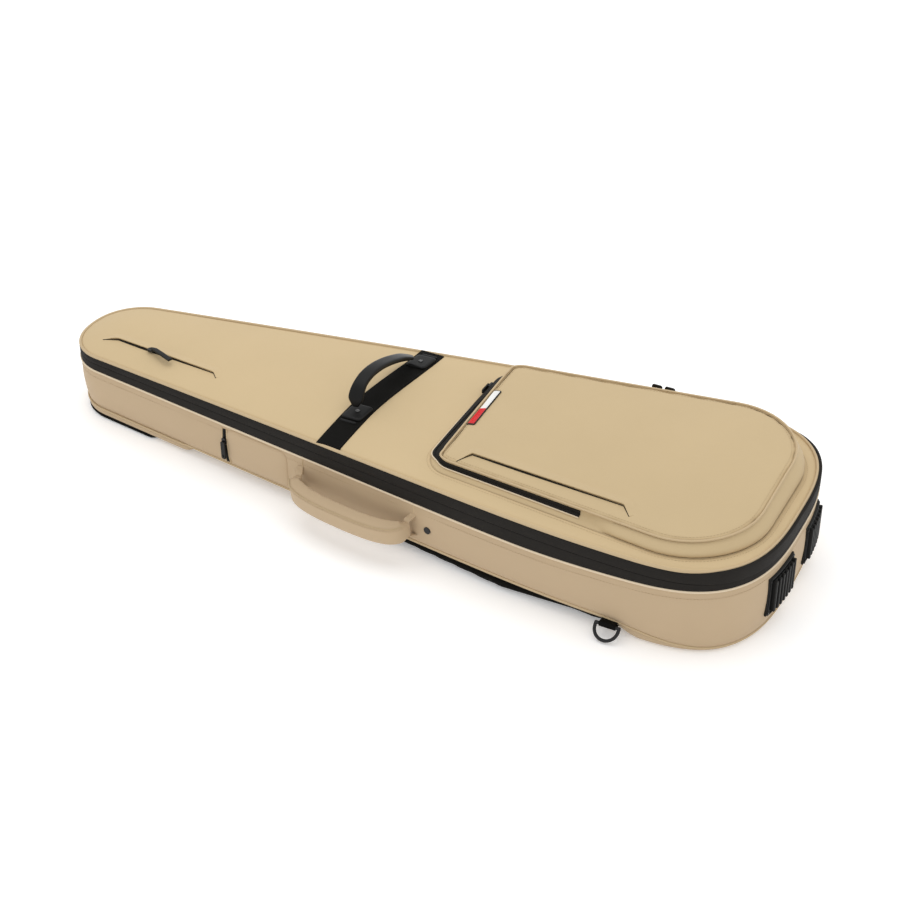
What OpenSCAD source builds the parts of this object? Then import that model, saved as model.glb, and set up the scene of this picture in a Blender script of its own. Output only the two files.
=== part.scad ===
// Padded gig bag for a solid-body guitar, lying on its back.
// Frame: +X towards the body end, -Y the carrying side, +Y the hinge side, +Z up, floor at z = 0.

/* [Outline] */
// Overall length
bag_len = 1070; // [1030:2:1290]
// Half width where the round head end meets the straight sides
head_half = 76; // [64:1:92]
// Half width at the widest part of the body
body_half = 181; // [174:1:218]
// Sideways growth of the straight sides for each mm of length
side_taper = 0.138; // [0.12:0.002:0.15]
// Length of the round head end
head_round = 64; // [45:1:90]
// Length of the round body end
body_round = 168; // [120:2:200]
// Squareness of the head end's corners
head_power = 2.24; // [2:0.02:3]
// Squareness of the body end's corners
body_power = 3.03; // [2.4:0.02:4]
// Softness of the bend between the straight sides and the wide body
side_blend = 8; // [4:1:14]

/* [Heights] */
// Height of the side wall's lower edge
wall_low = 18; // [15:1:26]
// Height of the zip band's lower edge at mid length
band_low = 86; // [70:1:100]
// Height of the zip's closing line at mid length
split_z = 101; // [90:1:118]
// Height of the lid's edge at mid length
lid_edge = 114.5; // [112:0.5:135]
// Rise of the band's lower edge for each mm towards the body end
band_rise = 0.008; // [0:0.001:0.012]
// Rise of the closing line for each mm towards the body end
split_rise = 0.0148; // [0.01:0.0002:0.016]
// Rise of the lid's edge for each mm towards the body end
lid_rise = 0.0215; // [0.018:0.0005:0.024]
// How far the lid is domed above its edge
lid_crown = 9; // [4:1:14]

/* [Padding] */
// Thickness of the outer fabric
skin = 1.6; // [1:0.1:2.5]
// Thickness of the side foam
foam = 16; // [10:1:22]
// Thickness of the back foam
back_foam_t = 12; // [8:1:20]
// Thickness of the lining
lining = 1; // [0.6:0.1:2]
// Thickness of the zip tape
tape = 1.8; // [1.2:0.1:2.4]
// Height of each half of the zip coil
coil_h = 1.4; // [1:0.1:2]
// Diameter of the piping cord
piping_d = 4; // [3:0.5:5]

/* [Back] */
// Distance from the body end to the back pad's body edge
back_pad_end = 165; // [150:5:220]
// Length of the back pad
back_pad_len = 390; // [300:10:460]
// Margin between the outline and the back pad
back_pad_inset = 11; // [9:1:30]
// Length of the strap pocket under the head end
strap_pocket_len = 229; // [180:1:300]
// Length of the black bumper under the head end
bumper_len = 161; // [100:1:220]
// Height of the black bumper
bumper_h = 6; // [3:1:10]
// Length of the tan rolled edge under the body end
end_roll_len = 155; // [120:5:160]

/* [Accessory pocket] */
// Gap between the pocket and the body end
pocket_end_gap = 26; // [18:1:50]
// Length of the pocket
pocket_len = 432; // [340:4:500]
// Half width of the pocket at its head edge
pocket_head_half = 116; // [96:1:124]
// Sideways growth of the pocket for each mm of length
pocket_taper = 0.115; // [0.08:0.005:0.13]
// Corner radius at the pocket's head edge
pocket_r_head = 34; // [20:1:50]
// Corner radius at the pocket's body edge
pocket_r_body = 120; // [80:5:140]
// Height of the pocket at its head edge
pocket_h = 25; // [20:1:36]
// Extra rise of the pocket for each mm towards the body end
pocket_rise = 0.02; // [0:0.002:0.03]
// Thickness of the pocket's padded face
face_t = 8; // [5:1:12]
// Height of the pocket's zip tape
pocket_tape_h = 12; // [8:1:16]
// Where the pocket's zip ends, from the head edge along the near side
zip_run = 222; // [150:2:300]

/* [Slash pockets] */
// Distance from the head end to the head slash pocket
head_slash_x = 76; // [65:1:110]
// Length of the head slash pocket
head_slash_len = 165; // [110:5:190]
// Offset of the head slash pocket from the centre line
head_slash_y = 31; // [15:1:40]
// Distance from the pocket's head edge to the face slash pocket
face_slash_x = 62; // [50:2:90]
// Offset of the face slash pocket from the centre line
face_slash_y = 98; // [60:2:106]
// Length of the face slash pocket's lip that lies on the flap
face_slash_len = 96; // [60:4:110]

/* [Handles] */
// Position of the lid strap from the head end
strap_x = 474; // [400:2:540]
// Width of the lid strap
strap_w = 40; // [25:1:50]
// Distance between the grip handle's rivets
rivet_gap = 150; // [120:2:170]
// Offset of the grip handle's middle from the centre line
grip_y = 22; // [-10:2:30]
// Height of the grip handle above the strap
grip_rise = 44; // [36:1:60]
// Width of the grip handle
grip_w = 26; // [16:1:32]
// Thickness of the grip handle
grip_t = 8; // [5:0.5:10]
// Position of the side handle's middle from the head end
side_handle_x = 518; // [440:2:600]
// Distance between the side handle's ends
side_handle_len = 193; // [150:1:230]
// Height of the side handle's ends above the floor
side_handle_z = 52; // [40:1:60]
// How far the side handle's middle stands out from the wall
side_handle_out = 41; // [38:1:60]
// Thickness of the side handle
side_handle_t = 18; // [12:1:22]
// Height of the side handle's section
side_handle_h = 30; // [20:1:32]
// Droop of the side handle below level, in degrees
side_handle_droop = 12; // [0:1:20]

/* [Side pocket] */
// Position of the side pocket's zip from the head end
side_zip_x = 299; // [240:1:340]
// Length of the side pocket's raised panel
side_pocket_len = 108; // [80:1:112]

/* [Body end] */
// Distance between the centre line and a foot's inner edge
foot_in = 25; // [15:1:40]
// Width of a foot
foot_w = 67; // [50:1:80]
// Height of a foot's lower edge
foot_low = 27; // [20:1:32]
// Height of a foot
foot_h = 57; // [40:1:58]
// Number of ribs on a foot
foot_ribs = 7; // [4:1:9]
// Distance from the body end to the D-rings
ring_x = 173; // [150:1:220]
// Outer width of a D-ring
ring_w = 35; // [28:1:40]
// Thickness of a D-ring's wire
ring_wire = 4.4; // [3:0.2:5]

/* [Inside] */
// Distance from the head end to the neck cradle
cradle_x = 385; // [300:5:420]
// Length of the neck cradle
cradle_len = 60; // [40:5:90]
// Height of the neck cradle above the lining
cradle_h = 42; // [30:1:45]
// Width of the neck cradle's channel
cradle_gap = 72; // [60:1:84]
// Length of the blocks that hold the instrument's body end
end_block_len = 38; // [25:1:60]
// Height of the end blocks and of the headstock pad
end_block_h = 24; // [15:1:40]

/* [Hidden] */
$fn = 40;
end_x = bag_len/2;
fabric = "#c2a880";
fabric_top = "#d4bc94";
black = "#262422";
rubber = "#1c1c1c";
foam_grey = "#6d6d70";
lining_grey = "#8b8680";
clear = 0.4;                       // running gap between moving pieces
cap_steps = 11;
side_steps = 16;
ring_steps = 5;
tall = 400;                        // taller than the bag, for cutting
wide = 2*end_x + 400;

// ---- outline of the bag, seen from above ----
function side_line(s) = head_half + side_taper*(s - head_round);
function soft_min(a, b) = min(a, b) - side_blend*ln(1 + exp(-abs(a - b)/side_blend));
function side_half(s) = soft_min(side_line(s), body_half);
function cap(u, p) = pow(1 - pow(max(0, min(1, u)), p), 1/p);
function half_w(x) = let(s = x + end_x)
    side_half(s)*cap((head_round - s)/head_round, head_power)
    *cap((s - bag_len + body_round)/body_round, body_power);
function head_s(i) = head_round*(1 - pow(cos(90*i/cap_steps), 2/head_power));
function body_s(i) = bag_len - body_round*(1 - pow(cos(90*i/cap_steps), 2/body_power));
function mid_s(i) = head_round + (bag_len - body_round - head_round)*i/side_steps;
function station(k) = k < cap_steps ? head_s(k)
    : k <= cap_steps + side_steps ? mid_s(k - cap_steps)
    : body_s(2*cap_steps + side_steps - k);
last = 2*cap_steps + side_steps;
near_edge = [for (k = [0:last]) [station(k) - end_x, -half_w(station(k) - end_x)]];
far_edge = [for (k = [last - 1:-1:1]) [near_edge[k][0], -near_edge[k][1]]];
edge = concat(near_edge, far_edge);

function turn_in(p, i, d) = let(n = len(p), a = p[(i + n - 1)%n], b = p[(i + 1)%n], t = (b - a)/norm(b - a))
    p[i] - d*[t[1], -t[0]];
function inset(p, d) = [for (i = [0:len(p) - 1]) turn_in(p, i, d)];

// ---- planes: [height at mid length, rise per mm] ----
band_plane = [band_low, band_rise];
split_plane = [split_z, split_rise];
lid_plane = [lid_edge, lid_rise];
floor_top = wall_low + back_foam_t;
function up(plane, d) = [plane[0] + d, plane[1]];
function plane_z(plane, x) = plane[0] + plane[1]*x;
function lid_top(x, y) = plane_z(lid_plane, x) + lid_crown*(1 - pow(y/half_w(x), 2));

module above(plane)
    translate([0, 0, plane[0]]) rotate([0, -atan(plane[1]), 0])
        translate([-wide/2, -tall, 0]) cube([wide, 2*tall, tall]);
module below(plane)
    translate([0, 0, plane[0]]) rotate([0, -atan(plane[1]), 0])
        translate([-wide/2, -tall, -tall]) cube([wide, 2*tall, tall]);
module prism(points, z0, z1) translate([0, 0, z0]) linear_extrude(z1 - z0) polygon(points);
module slice(points, low, high) difference() {
    prism(points, 0, tall/2);
    below(low);
    above(high);
}
// A wall that follows the outline between two insets and two planes
module wall(outer, inner, low, high) difference() {
    prism(inset(edge, outer), 0, tall/2);
    prism(inset(edge, inner), -1, tall/2 + 1);
    below(low);
    above(high);
}
module level_wall(outer, inner, z0, z1) difference() {
    prism(inset(edge, outer), z0, z1);
    prism(inset(edge, inner), z0 - 1, z1 + 1);
}
module from_x(x) translate([x, -tall, -tall/2]) cube([wide, 2*tall, tall]);
module to_x(x) translate([x - wide, -tall, -tall/2]) cube([wide, 2*tall, tall]);

// ---- rounded outlines made of corners and radii ----
corner_steps = 6;
function arc_at(a, b, c, r) = let(u = (a - b)/norm(a - b), v = (c - b)/norm(c - b),
    half = acos(u*v)/2, centre = b + (u + v)/norm(u + v)*r/sin(half),
    a0 = atan2(-v[1] + (u*v)*u[1], -v[0] + (u*v)*u[0]),
    a1 = atan2(-u[1] + (u*v)*v[1], -u[0] + (u*v)*v[0]),
    span = (a1 - a0 + 540)%360 - 180)
    [for (i = [0:corner_steps]) centre + r*[cos(a0 + span*i/corner_steps), sin(a0 + span*i/corner_steps)]];
function rounded(p, r) = let(n = len(p))
    [for (i = [0:n - 1]) each arc_at(p[(i + n - 1)%n], p[i], p[(i + 1)%n], r[i])];
function box_points(w, h) = [[-w/2, -h/2], [w/2, -h/2], [w/2, h/2], [-w/2, h/2]];
function round_box(w, h, r) = rounded(box_points(w, h), [r, r, r, r]);

// ---- shell: walls, back and inside ----
module side_wall() color(fabric) wall(0, skin, [wall_low, 0], band_plane);
module side_foam() color(foam_grey) wall(tape, tape + foam, [floor_top, 0], up(split_plane, -clear));
module side_lining() color(lining_grey)
    wall(tape + foam, tape + foam + lining, [floor_top + lining, 0], up(split_plane, -clear));
module back_panel() color(fabric) {
    prism(inset(edge, 0.6), wall_low - 2, wall_low);
    intersection() {
        prism(inset(edge, 5), 0, wall_low - 2);
        from_x(end_x - end_roll_len);
    }
}
module back_foam() color(foam_grey) prism(inset(edge, tape), wall_low, floor_top);
module back_lining() color(lining_grey) prism(inset(edge, tape + foam), floor_top, floor_top + lining);
module back_pad() color(black) intersection() {
    prism(inset(edge, back_pad_inset), 0, wall_low - 2);
    translate([end_x - back_pad_end - back_pad_len/2, 0, 0])
        linear_extrude(wall_low - 2) polygon(round_box(back_pad_len, 4*body_half, 30));
}
module strap_pocket() color(fabric) intersection() {
    prism(inset(edge, 2), bumper_h, wall_low - 2);
    to_x(strap_pocket_len - end_x);
}
module head_bumper() color(black) intersection() {
    prism(inset(edge, 2.5), 0, bumper_h);
    to_x(bumper_len - end_x);
}
module wall_piping() color(fabric) wall(-piping_d/4, 0, up(band_plane, -piping_d/2), up(band_plane, 0));
module lower_zip_tape() color(black)
    wall(0, tape, band_plane, up(split_plane, -coil_h - clear/2));
module lower_coil() color(black)
    wall(0.3, tape, up(split_plane, -coil_h - clear/2), up(split_plane, -clear/2));

// The hinge runs along the straight part of the far side
hinge_from = -300;
hinge_to = 180;
module hinge_strip() color(black) intersection() {
    wall(-1, -0.1, up(band_plane, 2), up(split_plane, -clear));
    translate([hinge_from, 0, 0]) cube([hinge_to - hinge_from, tall, tall]);
}

// ---- inside fittings ----
inner = tape + foam + lining;
rest_z = floor_top + lining;
cradle_corner = 4;
module neck_cradle() color(foam_grey) difference() {
    intersection() {
        prism(inset(edge, inner + 0.2), rest_z, rest_z + cradle_h);
        translate([cradle_x - end_x, -tall, 0]) cube([cradle_len, 2*tall, tall]);
    }
    translate([cradle_x - end_x - 1, 0, rest_z + cradle_h]) rotate([0, 90, 0])
        linear_extrude(cradle_len + 2) polygon(round_box(1.4*cradle_h, cradle_gap, cradle_corner));
}
module neck_strap() color(black)
    translate([cradle_x - end_x + cradle_len/2, 0, rest_z + cradle_h + 1])
        cube([25, cradle_gap + 50, 2], center = true);
module end_blocks() color(foam_grey) difference() {
    intersection() {
        prism(inset(edge, inner + 0.2), rest_z, rest_z + end_block_h);
        from_x(end_x - inner - end_block_len);
    }
    translate([0, -30, 0]) cube([wide, 60, tall]);
}
module headstock_pad() color(foam_grey) intersection() {
    prism(inset(edge, inner + 0.2), rest_z, rest_z + end_block_h);
    to_x(inner + end_block_len - end_x);
}

// ---- pieces on the near wall ----
side_angle = atan(side_taper);
// Puts the children on the near wall at x, with local -Y pointing out of the wall
module on_near_wall(x, out = 0)
    translate([x, -half_w(x), 0]) rotate([0, 0, -side_angle]) translate([0, -out, 0]) children();
side_x = side_zip_x - end_x;
side_mid_z = (wall_low + band_low)/2;
module side_pocket() color(fabric) intersection() {
    level_wall(-2, -0.1, wall_low + 2, band_low - 6);
    translate([side_x + 3, -tall, 0]) cube([side_pocket_len - 3, tall, tall]);
}
module side_pocket_zip() color(black) intersection() {
    level_wall(-1, -0.1, wall_low + 2, band_low - 10);
    translate([side_x - 3, -tall, 0]) cube([5.5, tall, tall]);
}
side_slider_z = side_mid_z + 6;
side_slider_out = 2.4;              // clear of the raised panel beside it
pull_len = 28;
pull_w = 7;
pull_t = 2;
pull_gap = 0.8;                    // between a slider and its pull
slider_t = 3;
slider_len = 11;
slider_w = 7;
module slider_body() linear_extrude(slider_t) polygon(round_box(slider_len, slider_w, 2.5));
// A pull tab lying along +X from its hinge at the origin, on a surface facing +Z
module pull_tab(length) difference() {
    translate([length/2 - 1, 0, 0]) linear_extrude(pull_t)
        polygon(round_box(length, pull_w, 2.5));
    translate([length - 6, 0, -1]) cylinder(d = 2.6, h = pull_t + 2);
}
module side_pocket_slider() color(rubber) on_near_wall(side_x, side_slider_out)
    translate([0, 0, side_slider_z]) rotate([90, 90, 0]) slider_body();
module side_pocket_pull() color(rubber) on_near_wall(side_x, side_slider_out + slider_t + pull_gap)
    translate([0, 0, side_slider_z]) rotate([90, 90, 0]) pull_tab(pull_len);

// ---- side handle ----
handle_x = side_handle_x - end_x;
knuckle_r = side_handle_t/2;
knuckle_out = knuckle_r + clear + 2;
half_span = side_handle_len/2;
bulge = side_handle_out - knuckle_out;
arc_r = (half_span*half_span + bulge*bulge)/(2*bulge);
arc_half = asin(half_span/arc_r);
solid_half = arc_half*0.8;
function on_arc(a) = [arc_r*sin(a), -bulge + arc_r*(1 - cos(a)), 0];
module side_handle() color(fabric)
    on_near_wall(handle_x, knuckle_out) translate([0, 0, side_handle_z]) rotate([side_handle_droop, 0, 0]) {
        translate([0, arc_r - bulge, 0]) rotate([0, 0, -90 - solid_half])
            rotate_extrude(angle = 2*solid_half, $fn = 120) translate([arc_r, 0])
                polygon(round_box(side_handle_t, side_handle_h, side_handle_t/2 - 0.5));
        for (side = [-1, 1]) hull() {
            translate(on_arc(side*(solid_half + 0.5))) sphere(knuckle_r*0.9, $fn = 24);
            translate(on_arc(side*arc_half)) sphere(knuckle_r, $fn = 24);
        }
    }
module side_handle_tabs() color(black) for (side = [-1, 1])
    on_near_wall(handle_x + side*(half_span + 4)*cos(side_angle), 0)
        translate([-7, -1.6, side_handle_z - 22]) cube([14, 1.5, 40]);
module side_stud() color(rubber) on_near_wall(handle_x + half_span + 20, 0.1)
    translate([0, 0, side_handle_z]) rotate([90, 0, 0]) cylinder(d = 10, h = 2.4);

// ---- feet on the body end ----
module foot_band(side, outer, inner_d, y0, y1, z0, z1) intersection() {
    level_wall(-outer, -inner_d, z0, z1);
    translate([0, side > 0 ? y0 : -y1, 0]) cube([wide, y1 - y0, tall]);
}
module foot(side) {
    foot_band(side, 3, 0.1, foot_in, foot_in + foot_w, foot_low, foot_low + foot_h);
    pitch = (foot_w - 12)/foot_ribs;
    for (i = [0:foot_ribs - 1])
        foot_band(side, 9, 3, foot_in + 6 + pitch*i, foot_in + 6 + pitch*(i + 0.62),
            foot_low + 5, foot_low + foot_h - 5);
}
module foot_near() color(rubber) foot(-1);
module foot_far() color(rubber) foot(1);
module foot_rivets() color("#55524e")
    for (side = [-1, 1], y = [foot_in + 2.8, foot_in + foot_w - 2.8], z = [4, foot_h - 4])
        translate([end_x + 3 - body_round*(1 - cap(y/body_half, body_power)), side*y, foot_low + z])
            rotate([0, 90, 0]) cylinder(d = 4, h = 1.6);

// ---- D-rings under the lower edge ----
ring_tilt = 45;
ring_z = wall_low - 0.5;
ring_pos_x = end_x - ring_x;
ring_out = 4.6;
bar_half = ring_w/2 - ring_wire/2;
ring_depth = 4;
module at_ring(side) translate([ring_pos_x, side*(half_w(ring_pos_x) + ring_out), ring_z])
    rotate([side > 0 ? 180 : 0, 0, 0]) children();
// D-ring with its bar along X through the origin, hanging out and down on the -Y side
module d_ring_shape(flip) rotate([flip*ring_tilt, 0, 0]) {
    translate([-bar_half, 0, 0]) rotate([0, 90, 0]) cylinder(d = ring_wire, h = 2*bar_half);
    for (s = [-1, 1]) translate([s*bar_half, 0, 0]) {
        sphere(d = ring_wire);
        rotate([90, 0, 0]) cylinder(d = ring_wire, h = ring_depth);
    }
    translate([0, -ring_depth, 0]) rotate([0, 0, 180])
        rotate_extrude(angle = 180, $fn = 64) translate([bar_half, 0]) circle(d = ring_wire);
}
module d_ring_near() color(rubber) at_ring(-1) d_ring_shape(1);
module d_ring_far() color(rubber) at_ring(1) d_ring_shape(-1);
module d_ring_tabs() color(black) for (side = [-1, 1])
    translate([ring_pos_x, side*(half_w(ring_pos_x) + ring_out), ring_z]) {
        difference() {
            rotate([0, 90, 0]) cylinder(d = ring_wire + 3.2, h = 24, center = true);
            rotate([0, 90, 0]) cylinder(d = ring_wire + 2*clear, h = 26, center = true);
        }
        translate([-12, side > 0 ? -12 : 2.6, -3.6]) cube([24, 9.4, 1.9]);
    }

// ---- lid ----
spine_from = -end_x + head_round;
spine_to = end_x - body_round;
function spine_x(x) = max(spine_from, min(spine_to, x));
function ring_point(p, t) = [(1 - t)*p[0] + t*spine_x(p[0]), (1 - t)*p[1]];
function dome_z(t) = lid_crown*(1 - (1 - t)*(1 - t));
dome_points = [for (k = [0:ring_steps]) each [for (p = edge)
    let(t = 0.94*k/ring_steps, q = ring_point(p, t)) [q[0], q[1], plane_z(lid_plane, q[0]) + dome_z(t)]]];
count = len(edge);
dome_base = [for (p = edge) [p[0], p[1], plane_z(lid_plane, p[0]) - skin]];
module dome() polyhedron(
    points = concat(dome_base, dome_points),
    faces = concat([[for (i = [0:count - 1]) i]],
        [for (k = [0:ring_steps], i = [0:count - 1]) let(j = (i + 1)%count)
            each [[k*count + i, (k + 1)*count + i, (k + 1)*count + j],
                [k*count + i, (k + 1)*count + j, k*count + j]]],
        [[for (i = [count - 1:-1:0]) (ring_steps + 1)*count + i]]));
module lid_panel() color(fabric_top) dome();
module lid_foam() color(foam_grey)
    slice(inset(edge, tape), up(split_plane, clear + lining), up(lid_plane, -skin));
module lid_lining() color(lining_grey)
    slice(inset(edge, tape), up(split_plane, clear), up(split_plane, clear + lining));
module lid_piping() color(fabric_top) wall(-piping_d/4, 0, up(lid_plane, -piping_d/2), up(lid_plane, 0));
module upper_zip_tape() color(black)
    wall(0, tape, up(split_plane, coil_h + clear/2), up(lid_plane, -skin));
module upper_coil() color(black)
    wall(0.3, tape, up(split_plane, clear/2), up(split_plane, coil_h + clear/2));

// ---- main zip sliders at the end of the zip, just past the hinge ----
slider_x = 280;
slider_apart = 9;
pull_up = 20;
module at_slider(side) translate([slider_x + side*slider_apart, half_w(slider_x + side*slider_apart) + 1,
    plane_z(split_plane, slider_x)]) children();
module main_slider() translate([0, 0, 1.5]) rotate([-90, 0, 0])
    linear_extrude(slider_t) polygon(round_box(slider_len + 2, slider_w, 2.5));
module main_pull() translate([0, slider_t + pull_gap, 5]) rotate([-90, -90, 0]) difference() {
    linear_extrude(pull_t) polygon(rounded([[-1, -4], [pull_up, -8], [pull_up, 8], [-1, 4]], [1, 3, 3, 1]));
    translate([pull_up - 6, 0, -1]) cylinder(d = 4, h = pull_t + 2);
}
module main_slider_a() color(rubber) at_slider(-1) main_slider();
module main_slider_b() color(rubber) at_slider(1) main_slider();
module main_pull_a() color(black) at_slider(-1) main_pull();
module main_pull_b() color(black) at_slider(1) main_pull();

// ---- strap and grip handle on the lid ----
strap_mid = strap_x - end_x;
strap_half = half_w(strap_mid);
strap_t = 1.6;
strap_steps = 14;
strap_lift = 0.5;
strap_base = plane_z(lid_plane, strap_mid);
function strap_curve(d) = [for (i = [-strap_steps:strap_steps]) let(y = (strap_half - 6)*i/strap_steps)
    [y, lid_top(strap_mid, y) - strap_base + d]];
function flipped(p) = [for (i = [len(p) - 1:-1:0]) p[i]];
module lid_strap() color(black) translate([strap_mid, 0, strap_base]) rotate([0, -atan(lid_rise), 0])
    rotate([90, 0, 90]) translate([0, 0, -strap_w/2]) linear_extrude(strap_w)
        polygon(concat(strap_curve(strap_lift), flipped(strap_curve(strap_lift + strap_t))));
tab_t = 3;
tab_len = 30;
function tab_z(y) = lid_top(strap_mid, y) + strap_lift + strap_t;
// Puts the children on the strap at y, tipped to follow the dome
module on_strap(y) translate([strap_mid, y, tab_z(y)])
    rotate([atan((tab_z(y + 5) - tab_z(y - 5))/10), -atan(lid_rise), 0]) children();
module grip_tabs() color(rubber) for (side = [-1, 1]) on_strap(grip_y + side*(rivet_gap/2 - 4))
    translate([0, 0, 0.2]) linear_extrude(tab_t) polygon(round_box(strap_w - 8, tab_len, 5));
module grip_rivets() color("#8c8a86") for (side = [-1, 1]) on_strap(grip_y + side*rivet_gap/2)
    translate([0, 0, tab_t + 0.2]) cylinder(d1 = 7, d2 = 4.5, h = 1.6);
axis_r = 4;
arch_half = rivet_gap/2 - 9;
axis_z = max(tab_z(grip_y - arch_half), tab_z(grip_y + arch_half)) + tab_t + axis_r + 2*clear;
arch_steps = 20;
function arch(hy, hz) = [for (i = [0:arch_steps]) let(a = 180*i/arch_steps) [hy*cos(a), hz*sin(a)]];
arch_rise = grip_rise - tab_t - axis_r;
module grip_handle() color(rubber) translate([strap_mid, grip_y, axis_z]) {
    rotate([90, 0, 90]) translate([0, 0, -grip_w/2]) linear_extrude(grip_w) intersection() {
        polygon(concat(arch(arch_half, arch_rise), flipped(arch(arch_half - grip_t, arch_rise - grip_t))));
        translate([-arch_half, 9]) square([2*arch_half, arch_rise]);
    }
    for (side = [-1, 1]) {
        translate([0, side*(arch_half - 4), 0]) rotate([90, 0, 0]) cylinder(r = axis_r, h = 12, center = true);
        translate([-axis_r, side*(arch_half - 5) - 4, 0]) cube([2*axis_r, 8, 12]);
    }
}

// ---- slash pocket on the head end of the lid ----
head_slash_from = head_slash_x - end_x;
slash_turn = 3.8;
// Puts the children on the lid's dome at the head slash pocket, local +X along the slash
module at_head_slash() translate([head_slash_from, -head_slash_y, 0]) rotate([0, 0, -slash_turn]) children();
head_slash_end = [head_slash_from + head_slash_len, -head_slash_y - head_slash_len*sin(slash_turn)];
head_low = lid_top(head_slash_from, -head_slash_y);
head_rise = (lid_top(head_slash_end[0], head_slash_end[1]) - head_low)/head_slash_len;
head_plane = [head_low - head_rise*head_slash_from, head_rise];
// A thin piece that lies on the dome and reaches a height above the slash pocket's own plane
module on_dome(height) difference() {
    at_head_slash() linear_extrude(tall/2) children();
    below(up(lid_plane, -1));
    above(up(head_plane, height));
    dome();
}
lip_w = 9;
slash_zip_w = 6;
module head_slash_lip() color(fabric_top) on_dome(2.4)
    polygon(rounded([[-4, 0], [head_slash_len + 4, 0], [head_slash_len, lip_w], [0, lip_w]], [1, 1, 3, 3]));
module head_slash_zip() color(black) on_dome(1)
    polygon([[2, -slash_zip_w], [head_slash_len - 2, -slash_zip_w], [head_slash_len - 2, -0.1], [2, -0.1]]);
head_slider_at = 58;
head_slider_z = plane_z(head_plane, head_slash_from + head_slider_at) + 1 + clear + 0.4;
module head_slider() color(rubber) at_head_slash() translate([head_slider_at, -slider_w/2 - 0.6, head_slider_z])
    rotate([0, -atan(head_rise), 0]) slider_body();
module head_pull() color(rubber) at_head_slash()
    translate([head_slider_at, -slider_w/2 - 0.6, head_slider_z + slider_t + pull_gap])
        rotate([0, -atan(head_rise), 0]) pull_tab(pull_len + 6);

// ---- accessory pocket ----
pocket_from = end_x - pocket_end_gap - pocket_len;
pocket_to = end_x - pocket_end_gap;
function pocket_half(x) = pocket_head_half + pocket_taper*(x - pocket_from);
pocket_edge = rounded([[pocket_from, -pocket_head_half], [pocket_to, -pocket_half(pocket_to)],
    [pocket_to, pocket_half(pocket_to)], [pocket_from, pocket_head_half]],
    [pocket_r_head, pocket_r_body, pocket_r_body, pocket_r_head]);
face_rise = lid_rise + pocket_rise;
face_plane = [plane_z(lid_plane, pocket_from) + pocket_h + lid_crown/2 - face_rise*pocket_from, face_rise];
gusset_plane = up(face_plane, -face_t);
tape_low = up(gusset_plane, -pocket_tape_h);
module pocket_ring(outer_d, inner_d, low, high) difference() {
    prism(inset(pocket_edge, outer_d), lid_edge - 20, tall/2);
    prism(inset(pocket_edge, inner_d), lid_edge - 21, tall/2 + 1);
    below(low);
    above(high);
}
module pocket_gusset() color(fabric_top) difference() {
    pocket_ring(0, 2.4, up(lid_plane, -1), gusset_plane);
    dome();
    intersection() {
        above(up(gusset_plane, -clear));
        flap_side(-clear);
    }
}
// The zip tape covers the head edge and the near side as far as zip_run
module pocket_zip_tape() color(black) intersection() {
    pocket_ring(-1, -0.1, tape_low, up(gusset_plane, -clear));
    translate([pocket_from - 10, -tall, 0])
        cube([10 + zip_run, tall + pocket_head_half - 8, tall]);
}
fold_a = [pocket_from, pocket_head_half - 8];
fold_b = [pocket_from + zip_run, -pocket_half(pocket_from + zip_run)];
fold_angle = atan2(fold_b[1] - fold_a[1], fold_b[0] - fold_a[0]);
// Everything on the near-head side of the fold line
module flap_side(gap) translate([fold_a[0], fold_a[1], 0]) rotate([0, 0, fold_angle])
    translate([-tall, -2*tall - gap, 0]) cube([3*tall, 2*tall, tall]);
module face_plate() slice(inset(pocket_edge, 0.5), gusset_plane, face_plane);
module pocket_face() color(fabric_top) difference() {
    face_plate();
    flap_side(0);
}
module pocket_flap() color(fabric_top) intersection() {
    face_plate();
    flap_side(clear);
}
lip_from = pocket_from + face_slash_x;
module face_slash_lip() color(fabric_top)
    slice([for (p = rounded([[-4, 0], [face_slash_len, 0], [face_slash_len, lip_w], [0, lip_w]],
        [1, 1, 3, 3])) [lip_from + p[0], -face_slash_y + p[1] - 0.145*p[0]]],
        up(face_plane, 0.1), up(face_plane, 3));
badge_len = 100;
badge_w = 13;
module badge() color("#c83a34") slice([for (p = box_points(badge_w, badge_len))
    [pocket_from + 24 + p[0], 17 + p[1]]], up(face_plane, 0.1), up(face_plane, 1.5));

pocket_slider_y = pocket_head_half - pocket_r_head - 8;
tape_mid = plane_z(tape_low, pocket_from) + pocket_tape_h/2;
module pocket_slider() color(rubber) translate([pocket_from - 1 - clear, pocket_slider_y, tape_mid])
    rotate([90, 0, -90]) slider_body();
module pocket_pull() color(rubber)
    translate([pocket_from - 1 - clear - slider_t - pull_gap, pocket_slider_y, tape_mid])
        rotate([90, 0, -90]) pull_tab(pull_len - 8);

side_wall();
side_foam();
side_lining();
back_panel();
back_foam();
back_lining();
back_pad();
strap_pocket();
head_bumper();
wall_piping();
lower_zip_tape();
lower_coil();
hinge_strip();
neck_cradle();
neck_strap();
end_blocks();
headstock_pad();
side_pocket();
side_pocket_zip();
side_pocket_slider();
side_pocket_pull();
side_handle();
side_handle_tabs();
side_stud();
foot_near();
foot_far();
foot_rivets();
d_ring_near();
d_ring_far();
d_ring_tabs();
lid_panel();
lid_foam();
lid_lining();
lid_piping();
upper_zip_tape();
upper_coil();
main_slider_a();
main_slider_b();
main_pull_a();
main_pull_b();
lid_strap();
grip_handle();
grip_tabs();
grip_rivets();
head_slash_lip();
head_slash_zip();
head_slider();
head_pull();
pocket_gusset();
pocket_zip_tape();
pocket_slider();
pocket_pull();
pocket_face();
pocket_flap();
face_slash_lip();
badge();
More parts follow.
